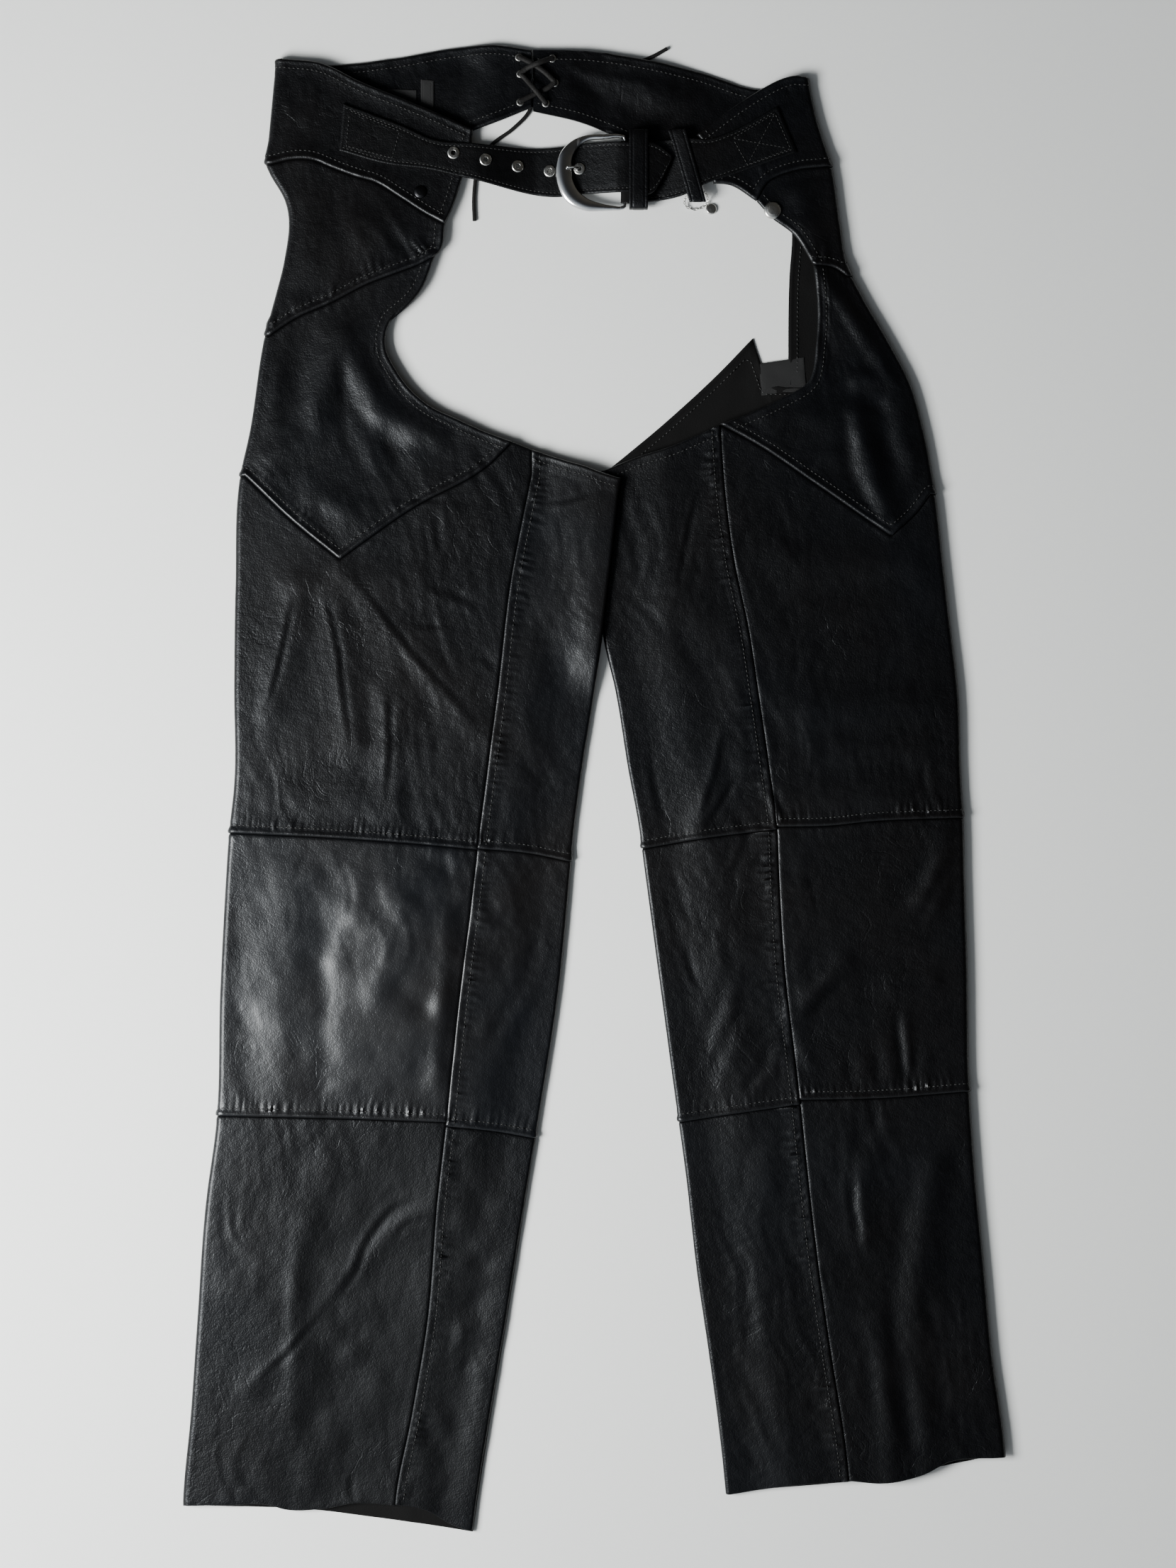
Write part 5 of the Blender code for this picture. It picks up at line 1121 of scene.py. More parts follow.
for side, leg in SIDES.items():
    s = LINES[side]
    seed = SEEDS[side][0]

    def seam_side(top, bottom, end):
        return leg.side(leg.seam_end, top[end][1], bottom[end][1])

    for k, (part, top, bottom, free, styles, wall) in enumerate((
        ("waist", "waist_top", "waist_bottom" if "waist_bottom" in s else "waist_seam", "waist_free",
         ("free", "lap", "fold", "free"), BAND_WALL),
        ("hip", "waist_seam", "hip_seam", "hip_free", ("under", "ribbed", "fold", "free"), LEATHER_WALL),
        ("point", "hip_seam", "point_seam", "crotch", ("under", "pulled", "fold", "free"), LEATHER_WALL),
    )):
        edges = (s[top], s[bottom], leg.outer_side(s[top], s[bottom]), s[free])
        leather_panel(f"{part}_front_{side}", leg, edges, styles, wall=wall, seed=seed + 10 * k)
    for part, tops, bottoms, edge in (
        ("thigh", ("thigh_top", "inner_top"), ("knee_outer_top", "knee_inner_top"), "lap"),
        ("knee", ("knee_outer_top", "knee_inner_top"), ("calf_outer_top", "calf_inner_top"), "bunched"),
        ("calf", ("calf_outer_top", "calf_inner_top"), ("hem_outer", "hem_inner"), "raw"),
    ):
        painted_sheen = PANEL_SHEEN.get((part, side), (0.0, 0.0))
        top, bottom = s[tops[0]], s[bottoms[0]]
        leather_panel(f"{part}_outer_{side}", leg,
                      (top, bottom, leg.outer_side(top, bottom), seam_side(top, bottom, -1)),
                      ("under", edge, "fold", "under"), seed=seed + 30, painted_sheen=painted_sheen[0])
        top, bottom = s[tops[1]], s[bottoms[1]]
        leather_panel(f"{part}_inner_{side}", leg,
                      (top, bottom, seam_side(top, bottom, 0), leg.inner_side(top, bottom)),
                      ("free" if part == "thigh" else "under", edge, "ruched", "fold"), folds=("inner",),
                      step=INNER_STEP, seed=seed + 40, painted_sheen=painted_sheen[1])
print("front panels:", len(panels))

# %% [markdown]
# ## The back of the legs
# The back panels lie flat on the surface, so their underside keeps its contact and only rises in
# soft wrinkles. The upper side is the flesh side, which shows at the seat and below the hem.

# %% Back panels
BACKS = {
    "right": {
        "strip": line([(-178, 486), (-178, 440), (-178, 380), (-172, 340), (-170, 307)]),
        "strip_top": from_fold(RIGHT, 485.5, (-214, 485.5), (-178, 486)),
        "split": from_fold(RIGHT, 307, (-170, 307)),
        "top": from_fold(RIGHT, 307, (-170, 307), (-120, 283), (-64, 262), (-15.4, 248.8), (-3.8, 245.7),
                         (7.7, 244), RIGHT.inner_end(243.0), corners=(1,)),
        "knee": from_fold(RIGHT, -35, RIGHT.inner_end(-57.0)),
        "calf": from_fold(RIGHT, -256, RIGHT.inner_end(-273.5)),
        "hem": from_fold(RIGHT, -561.5, (-212, -566), (-181, -570), (-136, -576), RIGHT.inner_end(-582.0)),
    },
    "left": {
        "strip": line([(150, 476.5), (155, 433), (153, 402), (152, 337), (152, 316)]),
        "strip_top": from_fold(LEFT, 483.5, (150, 476.5)),
        "split": from_fold(LEFT, 316, (152, 316)),
        "top": from_fold(LEFT, 316, (152, 316), (136, 316), (124, 353), (98, 326), (58, 289),
                         LEFT.inner_end(247.0), corners=(1, 2, 3)),
        "knee": from_fold(LEFT, -23, LEFT.inner_end(-47.0)),
        "calf": from_fold(LEFT, -237, LEFT.inner_end(-261.0)),
        "hem": from_fold(LEFT, -522, (217, -541), LEFT.inner_end(-551.0)),
    },
}
BACK_STEP = (5.0, 5.0)


def back_height(leg):
    """The back lies on the surface, with soft wrinkles that only rise from it."""
    def height(x, y):
        from_outer, from_inner = leg.edges(x, y)
        inside = ease((from_outer - 6.0) / 20.0) * ease((from_inner - 6.0) / 20.0)
        soft = wrinkled(x, y, leg.seed + 60, 70.0, 22.0, 0.15)
        return leg.lift(x, y) + 1.1 * inside * np.maximum(soft - 0.15, 0.0)
    return height


for side, leg in SIDES.items():
    s = BACKS[side]
    seed = SEEDS[side][1]
    common = dict(facing=-1, height=back_height(leg), step=BACK_STEP, slot="leather_flesh_side")
    leather_panel(f"hip_back_{side}", leg,
                  (s["strip_top"], s["split"], leg.outer_side(s["strip_top"], s["split"]), s["strip"]),
                  ("under", "plain", "fold", "free"), seed=seed, **common)
    for part, top, bottom, styles in (
        ("thigh", s["top"], s["knee"], ("free", "lap", "fold", "fold")),
        ("knee", s["knee"], s["calf"], ("under", "lap", "fold", "fold")),
        ("calf", s["calf"], s["hem"], ("under", "raw", "fold", "fold")),
    ):
        leather_panel(f"{part}_back_{side}", leg,
                      (top, bottom, leg.outer_side(top, bottom), leg.inner_side(top, bottom)),
                      styles, folds=("outer", "inner"), seed=seed + 10, **common)
print("panels so far:", len(panels))

# %% [markdown]
# ## The laced yoke
# Above the seat a doubled band closes the back, laced in the middle. It stands a little off the
# surface there, because the ends of the thong run under it.

# %% Back yoke
YOKE_RISE = 3.5
YOKE_MIDDLE_X = -48.5
YOKE_HUMP = (25.0, 35.0)
YOKE_BROW = (92.0, 55.0)
YOKE_BROW_RISE = (0.35, 0.4)
LACING_GAP = 1.2
YOKE_STEP = (3.0, 3.0)
RIGHT_LACED_X, LEFT_LACED_X = YOKE_MIDDLE_X - LACING_GAP / 2, YOKE_MIDDLE_X + LACING_GAP / 2
YOKE_LINES = {  # upper and lower edge: the height at the fold, then the places up to the lacing
    "right": ((570.0, (-214, 567), (-157, 572), (-110, 580), (-79, 582), (RIGHT_LACED_X, 578)),
              (485.5, (-178, 486), (-121, 504), (-94, 516), (-79, 521), (RIGHT_LACED_X, 533))),
    "left": ((556.0, (133, 548), (83, 561), (47, 569), (-6, 577), (LEFT_LACED_X, 578)),
             (483.5, (150, 476.5), (95, 480), (56, 493), (24, 508), (-6, 520), (LEFT_LACED_X, 530))),
}
yoke_edges = {side: [from_fold(leg, *edge) for edge in YOKE_LINES[side]] for side, leg in SIDES.items()}
yoke_high, yoke_low = (np.concatenate([right, left[::-1]])
                       for right, left in zip(yoke_edges["right"], yoke_edges["left"]))


def yoke_height(x, y):
    """Underside of the yoke: a hump round the lacing, and a brow along the top beside it."""
    away = np.abs(x - YOKE_MIDDLE_X)
    low, high = np.interp(x, *yoke_low.T), np.interp(x, *yoke_high.T)
    up = (y - low) / (high - low)
    hump = 1 - ease((away - YOKE_HUMP[0]) / YOKE_HUMP[1])
    brow = 1 - ease((away - YOKE_BROW[0]) / YOKE_BROW[1])
    brow = brow * ease((up - YOKE_BROW_RISE[0]) / YOKE_BROW_RISE[1])
    return YOKE_RISE * np.maximum(hump, np.where(x > YOKE_MIDDLE_X, brow, 0.0))


def yoke_soft(x, y):
    """The yoke's underside with shallow wrinkles that gather towards the lacing."""
    away = np.abs(x - YOKE_MIDDLE_X)
    soft = 0.8 * wrinkled(x, y, 77, 40.0, 15.0, 1.35) + 0.35 * wrinkled(x, y, 83, 22.0, 6.0, 0.5)
    return yoke_height(x, y) + 0.55 * ease((away - 16) / 20.0) * np.maximum(soft, -0.2) + 0.11


for side, leg in SIDES.items():
    top, bottom = yoke_edges[side]
    leather_panel(f"yoke_back_{side}", leg,
                  (top, bottom, leg.outer_side(top, bottom), line([top[-1], bottom[-1]])),
                  ("free", "free", "fold", "plain"), wall=BAND_WALL, facing=-1, height=yoke_soft,
                  step=YOKE_STEP, slot="leather_flesh_side", seed=SEEDS[side][2],
                  finishes=(LEATHER, LEATHER))
print("leather panels:", len(panels))

# %% [markdown]
# ## Stitches
# Each stitch is a short rounded rod of thread, laid on the leather at a fixed distance in from an
# edge. The panel already knows how far every point of its grid is from each edge, so the line of
# stitches is where that distance passes the inset; a stitch is then one small mesh, copied as an
# array of places.

# %% Lines on a panel
STITCH_LENGTH = 2.4
THREAD_RADIUS = 0.42
SIDES_OF_THREAD = 5
STITCH_SINK = 0.02
STITCH_LOWEST = 0.02  # clear of the floor
ROD = np.array([  # rings of a stitch: place along it, in lengths, then radius and rise, in radii
    (-0.5, 0.35, 0.0), (-0.34, 1.0, 0.45), (0.34, 1.0, 0.45), (0.5, 0.35, 0.0)])


def unit(v):
    return v / np.maximum(np.linalg.norm(v, axis=-1, keepdims=True), 1e-12)


def contour(points, field, edge, inset):
    """Places and normals where the distance from an edge passes the inset, one to a line of the grid."""
    normals = unit(np.cross(np.gradient(points, axis=0), np.gradient(points, axis=1)))
    grids = [points, normals, field]
    if edge in (2, 3):
        grids = [np.swapaxes(g, 0, 1) for g in grids]
    if edge in (1, 3):
        grids = [g[::-1] for g in grids]
    points, normals, field = grids
    past = field >= inset
    first = past.argmax(0)
    found = np.nonzero(past.any(0) & (first > 0))[0]
    i = first[found]
    before, after = field[i - 1, found], field[i, found]
    t = ((inset - before) / np.maximum(after - before, 1e-9))[:, None]
    place = (1 - t) * points[i - 1, found] + t * points[i, found]
    return place, unit((1 - t) * normals[i - 1, found] + t * normals[i, found])


def stitches(place, normal, up, pitch=STITCH_PITCH, length=STITCH_LENGTH, radius=THREAD_RADIUS,
             trim=(2.0, 2.0)):
    """Points of a row of stitches: a small rounded rod at every pitch along the line."""
    run = run_of(place)
    count = int((run[-1] - sum(trim)) / pitch)
    if count < 1:
        return np.zeros((0, len(ROD) * SIDES_OF_THREAD, 3))
    at = trim[0] + pitch * (np.arange(count) + 0.5)
    spots = at_run(place, run, at)
    out = unit(at_run(normal, run, at))
    out = out * np.sign(out[:, 2:3] * up + 1e-9)
    forward = unit(at_run(place, run, at + 0.6) - at_run(place, run, at - 0.6))
    aside = unit(np.cross(forward, out))
    turn = turns(SIDES_OF_THREAD)
    t, r, rise = (np.repeat(column, SIDES_OF_THREAD)[None, :, None] for column in ROD.T)
    t, r, rise = t * length, r * radius, rise * radius
    c, s = (np.tile(wave, len(ROD))[None, :, None] for wave in (np.cos(turn), np.sin(turn)))
    across = aside[:, None] * r * c + out[:, None] * (r * s + rise - STITCH_SINK)
    return spots[:, None] + forward[:, None] * t + across


def rod_faces(count):
    """Faces of that many rods: a band of four-sided faces between rings, and two caps each."""
    n, last = SIDES_OF_THREAD, len(ROD) - 1
    k = np.arange(n)
    after = (k + 1) % n
    bands = np.concatenate([np.stack([k + n * b, after + n * b, after + n * (b + 1), k + n * (b + 1)], 1)
                            for b in range(last)])
    start = (np.arange(count) * len(ROD) * n)[:, None, None]
    quads = (bands[None] + start).reshape(-1, 4)
    caps = (np.stack([k[::-1], k + last * n])[None] + start).reshape(-1, n)
    return quads, caps


def sewn_piece(name, rows):
    """One mesh of all the stitches in the rows."""
    rods = np.concatenate(rows)
    rods[..., 2] += np.maximum(STITCH_LOWEST - rods[..., 2].min(1), 0.0)[:, None]
    quads, caps = rod_faces(len(rods))
    points = rods.reshape(-1, 3)
    a, b, d = (rods[0][k] for k in (0, 1, SIDES_OF_THREAD))
    centre = rods[0].mean(0)
    if np.dot(np.cross(b - a, d - a), a - centre) < 0:
        quads, caps = quads[:, ::-1], caps[:, ::-1]
    data = mesh_of(name, points, [*map(tuple, quads), *map(tuple, caps)], (THREAD,))
    place_piece(name, data, (), "black_leather")
    print(name, len(rods), "stitches")


# %% Seams and hems
SEWN = {
    "waist_front": ((0, 7.0), (1, 6.5), (3, 7.0)),
    "hip_front": ((1, 6.5), (3, 7.0)),
    "point_front": ((1, 6.5), (3, 7.0)),
    "thigh_outer": ((1, 6.5),),
    "thigh_inner": ((0, 7.0), (1, 6.5), (2, 6.5)),
    "knee_outer": ((1, 6.5),),
    "knee_inner": ((1, 6.5), (2, 6.5)),
    "calf_outer": (),
    "calf_inner": ((2, 6.5),),
}
SEWN_BACK = {"hip_back": ((3, 7.0),), "thigh_back": ((0, 7.0),), "yoke_back": ((0, 7.0), (1, 7.0))}
for side in SIDES:
    rows = []
    for part, seams in SEWN.items():
        panel = panels[f"{part}_{side}"]
        for edge, inset in seams:
            rows.append(stitches(*contour(panel.outer, panel.away[edge], edge, inset), 1.0))
    sewn_piece(f"stitches_front_{side}", rows)
    rows = []
    for part, seams in SEWN_BACK.items():
        panel = panels[f"{part}_{side}"]
        for edge, inset in seams:
            rows.append(stitches(*contour(panel.inner, panel.away[edge], edge, inset), 1.0))
            rows.append(stitches(*contour(panel.outer, panel.away[edge], edge, inset), -1.0))
    for part in ("thigh_back", "knee_back"):
        panel = panels[f"{part}_{side}"]
        rows.append(stitches(*contour(panel.outer, panel.away[1], 1, 6.5), -1.0))
    sewn_piece(f"stitches_back_{side}", rows)

# %% [markdown]
# ## The belt
# Each strap is a strip between two edges, with a height along it: it lies on the waist, leaves it,
# and either runs through the buckle or wraps its bar. The edges are rounded, and the holes are
# cells left out of the grid, under the grommets.

# %% Strap shapes
STRAP = 2.2
BILLET = 1.8
BAR_X, BAR_Z, BAR_RADIUS = 24.0, 7.2, 1.3
WRAP_RADIUS = 2.5
WRAP_TOP_Y, WRAP_BOTTOM_Y, WRAP_END_X = 506.0, 458.0, 36.0
TONGUE_Y = 485.0
SLOT_WIDTH = 7.0
HOLE_RADIUS = 2.9
KEEPER_WALL = 1.1
KEEPER_EASE = 0.4
STRAP_STEPS, BILLET_STEPS, STRAP_ACROSS = 230, 110, 1.3  # steps along, and millimetres across
STRAP_ROUND, STRAP_LIP = 0.9, 0.75
BELT_INSET, BELT_LINE_WIDTH, BELT_LINE_DEPTH = 3.0, 0.7, 0.22
STRAP_TOP = ((0.0, -196, 535), (0.18, -149, 517), (0.27, -126, 507), (0.39, -94, 504), (0.64, -26, 502.5),
             (0.69, -15, 504.5), (0.84, 26, 504.5), (0.94, 49, 502.5), (1.0, 61, 494))
STRAP_BOTTOM = ((0.0, -199, 498), (0.18, -158, 487), (0.27, -132, 484), (0.39, -100, 477), (0.64, -26, 463.5),
                (0.69, -15, 465), (0.84, 26, 465.5), (0.94, 48, 467.5), (1.0, 61, 492))
STRAP_LEAVES_X, STRAP_LANDS_X = -97.0, -45.0
STRAP_SAG = ((-45, 1.0), (-26, 2.3), (-16, 2.5), (-10, 2.9), (-4, 4.2), (4, 6.6), (12, 9.3), (18, 11.1),
             (23, 11.6), (42, 11.5), (62, 9.6))
GROMMETS = ((-110, 496), (-85, 491), (-60, 487), (-35, 483.5), (-12, 485))
BILLET_TOP = ((0.0, 30, 506), (0.3, 72, 508), (0.45, 90, 507.5), (0.6, 105, 512.5), (1.0, 143, 533))
BILLET_BOTTOM = ((0.0, 30, 458), (0.3, 70, 464), (0.45, 86, 472), (0.6, 108, 479.5), (1.0, 158, 497))
BILLET_LEAVES_X, BILLET_LANDS_X = 44.0, 79.0


def strap_underside(x, y):
    """Underside of the long strap: on the waist, then sagging to pass under the buckle's arc."""
    sag = np.interp(x, *np.array(STRAP_SAG).T)
    down = ease((x - STRAP_LEAVES_X) / (STRAP_LANDS_X - STRAP_LEAVES_X))
    return (RIGHT.base(x, y) + SEAT) * (1 - down) + sag * down


def strap_top(x, y):
    return strap_underside(x, y) + STRAP


def billet_underside(x, y):
    low = BAR_Z - WRAP_RADIUS - BILLET / 2
    up = ease((x - BILLET_LEAVES_X) / (BILLET_LANDS_X - BILLET_LEAVES_X))
    return low * (1 - up) + (LEFT.base(x, y) + SEAT) * up


def billet_top(x, y):
    return billet_underside(x, y) + BILLET


def strip(top, bottom, count, across):
    """Plan positions of a strap between its two edges."""
    stops = np.linspace(0, 1, count)
    edges = [np.stack([through([k[0] for k in e], [k[i] for k in e])(stops) for i in (1, 2)], 1)
             for e in (np.array(top, float), np.array(bottom, float))]
    share = graded(float(np.linalg.norm(edges[0] - edges[1], axis=1).mean()), across)[:, None, None]
    spots = (1 - share) * edges[0][None] + share * edges[1][None]
    return spots[..., 0], spots[..., 1]


def strap_relief(x, y, seed):
    """Rounded edges, a pressed line inside them for the stitches, and a slightly uneven middle."""
    points = np.stack([x, y], -1)
    width = np.cumsum(np.linalg.norm(np.diff(points, axis=0, prepend=points[:1]), axis=-1), 0)
    near = np.minimum(width, width[-1] - width)
    length = np.cumsum(np.linalg.norm(np.diff(points, axis=1, prepend=points[:, :1]), axis=-1), 1)
    ends = np.minimum(length, length[:, -1:] - length)
    near_any = np.minimum(near, ends)
    lip = -STRAP_LIP * rounding(near_any, STRAP_ROUND)
    lines = -BELT_LINE_DEPTH * bell((near_any - BELT_INSET) / BELT_LINE_WIDTH)
    ribs = 0.10 * noise(x / 16.0, y / 9.0, seed) + 0.05 * noise(x / 5.0, y / 5.0, seed + 1)
    return lip + lines + ribs, near


def cell_middles(x, y):
    return ((g[:-1, :-1] + g[1:, 1:]) / 2 for g in (x, y))


# %% Belt straps
STRAP_FINISHES = (STRAP_LEATHER, EDGE_LEATHER)
x, y = strip(STRAP_TOP, STRAP_BOTTOM, STRAP_STEPS, STRAP_ACROSS)
rise, near = strap_relief(x, y, 31)
over = np.stack([x, y, strap_top(x, y) + rise], -1)
under = np.stack([x, y, strap_underside(x, y) - 0.4 * np.minimum(rise, 0.0)], -1)
middle_x, middle_y = cell_middles(x, y)
keep = np.ones(middle_x.shape, bool)
for hx, hy in GROMMETS:
    keep &= np.hypot(middle_x - hx, middle_y - hy) > HOLE_RADIUS
data = wall_mesh("strap_with_holes", over, under, STRAP_FINISHES, keep, {"wear_and_sheen": 0 * x, "hollow_shade": 0 * x})
place_piece("strap_with_holes", data, ["belt_strap_right"], "black_leather")
long_strap = (over, near)

half = BILLET / 2
turn = np.radians(np.linspace(90, 270, 25))
lap_x, lap_drop = np.linspace(WRAP_END_X, 26.0, 9), 0.6 * np.linspace(1, 0, 9) ** 2
wrap_x = np.concatenate([lap_x, BAR_X + WRAP_RADIUS * np.cos(turn), [26.0, 28.0]])
wrap_z = np.concatenate([BAR_Z + WRAP_RADIUS - lap_drop, BAR_Z + WRAP_RADIUS * np.sin(turn),
                         [BAR_Z - WRAP_RADIUS] * 2])
x, y = strip(BILLET_TOP, BILLET_BOTTOM, BILLET_STEPS, STRAP_ACROSS)
share = (y[:, :1] - y[0, 0]) / (y[-1, 0] - y[0, 0])
wrap_y = WRAP_TOP_Y + (WRAP_BOTTOM_Y - WRAP_TOP_Y) * share + 0 * wrap_x[None]
middle = billet_underside(x, y) + half
x = np.concatenate([np.tile(wrap_x, (len(x), 1)), x], 1)
y = np.concatenate([wrap_y, y], 1)
middle = np.concatenate([np.tile(wrap_z, (len(x), 1)), middle], 1)
rise, near = strap_relief(x, y, 52)
dx, dz = np.gradient(x, axis=1), np.gradient(middle, axis=1)
long = np.hypot(dx, dz)
out = half + rise
over = np.stack([x - out * dz / long, y, middle + out * dx / long], -1)
under = np.stack([x + half * dz / long, y, middle - half * dx / long], -1)
middle_x, middle_y = cell_middles(x, y)
keep = ~((np.abs(middle_x - BAR_X) < 6.0) & (np.abs(middle_y - TONGUE_Y) < SLOT_WIDTH / 2))
data = wall_mesh("strap_to_buckle", over, under, STRAP_FINISHES, keep, {"wear_and_sheen": 0 * x, "hollow_shade": 0 * x})
place_piece("strap_to_buckle", data, ["belt_strap_left"], "black_leather")
short_strap = (over, near)
print("straps placed")

# %% [markdown]
# ## Belt loops
# A loop is a band of leather bent round the belt. Its path round the belt is a squared oval, and its
# own section is a squared oval too, so one torus-like grid makes the loop with its rounded edges.


# %% Closed grids
SHARP_CAP = math.radians(40)
LOOP_STEPS, SECTION_STEPS = 72, 64
LOOP_PATH_POWER, LOOP_SECTION_POWER = 0.38, 0.62
LOOP_LINE_AT, LOOP_LINE_WIDTH, LOOP_LINE_DEPTH = 2.4, 0.55, 0.28


def closed_mesh(name, grid, finish, wrap_rows=False):
    """A tube of closed rings; the rows of rings close on themselves or end in caps."""
    rows, columns = grid.shape[:2]
    number = np.arange(rows * columns).reshape(rows, columns)
    after = np.roll(number, -1, axis=1)
    a, b, c, d = number, after, np.roll(after, -1, axis=0), np.roll(number, -1, axis=0)
    if not wrap_rows:
        a, b, c, d = (g[:-1] for g in (a, b, c, d))
    quads = np.stack([a, b, c, d], -1).reshape(-1, 4)
    caps = [] if wrap_rows else [tuple(number[0][::-1]), tuple(number[-1])]
    points = grid.reshape(-1, 3)
    p = points[quads]
    centre = points.mean(0)
    volume = np.sum((p[:, 0] - centre) * np.cross(p[:, 1] - centre, p[:, 2] - centre))
    volume += np.sum((p[:, 0] - centre) * np.cross(p[:, 2] - centre, p[:, 3] - centre))
    faces = [*map(tuple, quads), *caps]
    if volume < 0:
        faces = [f[::-1] for f in faces]
    return mesh_of(name, points, faces, (finish,), SHARP_CAP)


def squared(angle, power):
    """Cosine and sine pushed towards the corners of a square."""
    c, s = np.cos(angle), np.sin(angle)
    return np.sign(c) * np.abs(c) ** power, np.sign(s) * np.abs(s) ** power


def loop_grid(top, bottom, width, under, over):
    """Points of a belt loop: round the belt in rows, round the leather's own section in columns."""
    top, bottom = np.array(top, float), np.array(bottom, float)
    length = bottom - top
    grown = KEEPER_WALL / np.linalg.norm(length)
    around = turns(LOOP_STEPS)[:, None]
    section = turns(SECTION_STEPS)[None]
    along_belt, wall = squared(section, LOOP_SECTION_POWER)
    line_in = bell(((1 - np.abs(along_belt)) * width / 2 - LOOP_LINE_AT) / LOOP_LINE_WIDTH)
    wall = KEEPER_WALL * (0.5 + 0.5 * wall) - np.where(wall > 0, LOOP_LINE_DEPTH, 0.0) * line_in
    c, s = squared(around, LOOP_PATH_POWER)
    share = 0.5 + c * (0.5 + grown * wall / KEEPER_WALL)
    x = top[0] + share * length[0] + along_belt * width / 2
    y = top[1] + share * length[1] + 0 * along_belt
    low, high = under(x, y) - KEEPER_EASE - wall, over(x, y) + KEEPER_EASE + wall
    return np.stack([x, y, (low + high) / 2 + s * (high - low) / 2], -1)


LOOPS = {
    "keeper_buckle": ((34.5, 514), (34.5, 453.5), 14.5, billet_underside, strap_top),
    "keeper_end": ((64.5, 514.5), (80.5, 459), 13.0, billet_underside, billet_top),
}
for name, spec in LOOPS.items():
    data = closed_mesh(f"{name}_band", loop_grid(*spec), LEATHER, wrap_rows=True)
    place_piece(f"{name}_band", data, [name], "black_leather")
print("loops:", list(LOOPS))

# %% [markdown]
# ## Buckle and tongue
# The frame is a rod that swells from the bar to the broad arc and closes on itself. Its section is an
# oval whose two radii change along the way.

# %% Buckle
BUCKLE = (
    (23.0, 509.3, 1.4, 1.4), (20.5, 510.0, 1.6, 1.6), (8, 509.6, 2.0, 1.9), (-6, 508.6, 2.4, 2.2),
    (-15, 504.0, 3.6, 2.4), (-21.5, 496, 5.0, 2.5), (-24, 485, 6.1, 2.6), (-22.5, 473, 6.4, 2.6),
    (-17, 463, 6.3, 2.6), (-8, 457, 5.2, 2.5), (4, 454.6, 3.4, 2.3), (14, 453.9, 2.2, 2.0),
    (20.5, 453.8, 1.6, 1.6), (23.0, 454.6, 1.4, 1.4), (24, 457, 1.3, 1.3), (24, 482, 1.3, 1.3),
    (24, 507, 1.3, 1.3),
)
BUCKLE_ARC_Z, BUCKLE_ARC_X = 7.6, -24.0
BUCKLE_STEPS, BUCKLE_SIDES = 8, 28
rows = np.array(BUCKLE)
rows = np.concatenate([rows[-2:], rows, rows[:3]])
run = run_of(rows[:, :2])
at = (run[2:-3, None] + np.linspace(0, 1, BUCKLE_STEPS, endpoint=False) * np.diff(run)[2:-2, None]).ravel()
x, y, wide, high = (through(run, column)(at) for column in rows.T)
z = BUCKLE_ARC_Z + (BAR_Z - BUCKLE_ARC_Z) * (x - BUCKLE_ARC_X) / (BAR_X - BUCKLE_ARC_X)
dx, dy = np.roll(x, -1) - np.roll(x, 1), np.roll(y, -1) - np.roll(y, 1)
side_way = np.stack([-dy, dx, 0 * dx], -1) / np.hypot(dx, dy)[:, None]
turn = turns(BUCKLE_SIDES)
grid = np.stack([x, y, z], -1)[:, None] + (wide[:, None] * np.cos(turn))[..., None] * side_way[:, None]
grid = grid + (high[:, None] * np.sin(turn))[..., None] * np.array([0, 0, 1.0])
data = closed_mesh("buckle_rod", grid, CHROME, wrap_rows=True)
place_piece("buckle_rod", data, ["buckle_frame"], "chrome_plate")


TUBE_STEPS = 90


def tube_grid(path, radius, sides, aside=None, wide=1.0):
    """Rings round a path, with a half ball at each end; wide draws the rings out sideways."""
    path, radius = np.array(path, float), np.broadcast_to(np.array(radius, float), (len(path),))
    forward = unit(np.gradient(path, axis=0))
    aside = unit(np.cross([0, 0, 1.0], forward)) if aside is None else unit(np.array([aside]) + 0 * path)
    up = np.cross(forward, aside)
    tilt = np.radians([88, 70, 50, 30, 12])
    ends = []
    for k, sign, order in ((0, -1, 1), (-1, 1, -1)):
        place = path[k] + sign * forward[k] * radius[k] * np.sin(tilt)[:, None]
        ends.append((place[::order], (radius[k] * np.cos(tilt))[::order]))
    path = np.concatenate([ends[0][0], path, ends[1][0]])
    radius = np.concatenate([ends[0][1], radius, ends[1][1]])
    aside, up = (np.pad(way, ((len(tilt), len(tilt)), (0, 0)), "edge") for way in (aside, up))
    turn = turns(sides)[None, :, None]
    section = wide * np.cos(turn) * aside[:, None] + np.sin(turn) * up[:, None]
    return path[:, None] + radius[:, None, None] * section


TONGUE = ((14, 3.9), (7, 2.9), (2, 1.8), (-3, 1.2), (-8, 1.15), (-10.6, 1.5), (-12.0, 2.8), (-12.2, 4.7),
          (-12.4, 6.8), (-13.8, 9.2), (-16.0, 11.0), (-18.4, 11.8), (-20.8, 12.0))
TONGUE_SIDES = 14
eye = BAR_RADIUS + SEAT + 1.1
turn = np.radians(np.linspace(165, -90, 9))
tongue_path = [(BAR_X + eye * math.cos(a), TONGUE_Y, BAR_Z + eye * math.sin(a)) for a in turn]
tongue_path += [(x, TONGUE_Y, z) for x, z in TONGUE]
thinning = np.linspace(1.05, 0.9, TUBE_STEPS)
grid = tube_grid(route(tongue_path, TUBE_STEPS), thinning, TONGUE_SIDES, (0.0, 1.0, 0.0))
place_piece("tongue_rod", closed_mesh("tongue_rod", grid, CHROME), ["buckle_tongue"], "chrome_plate")
print("buckle and tongue placed")

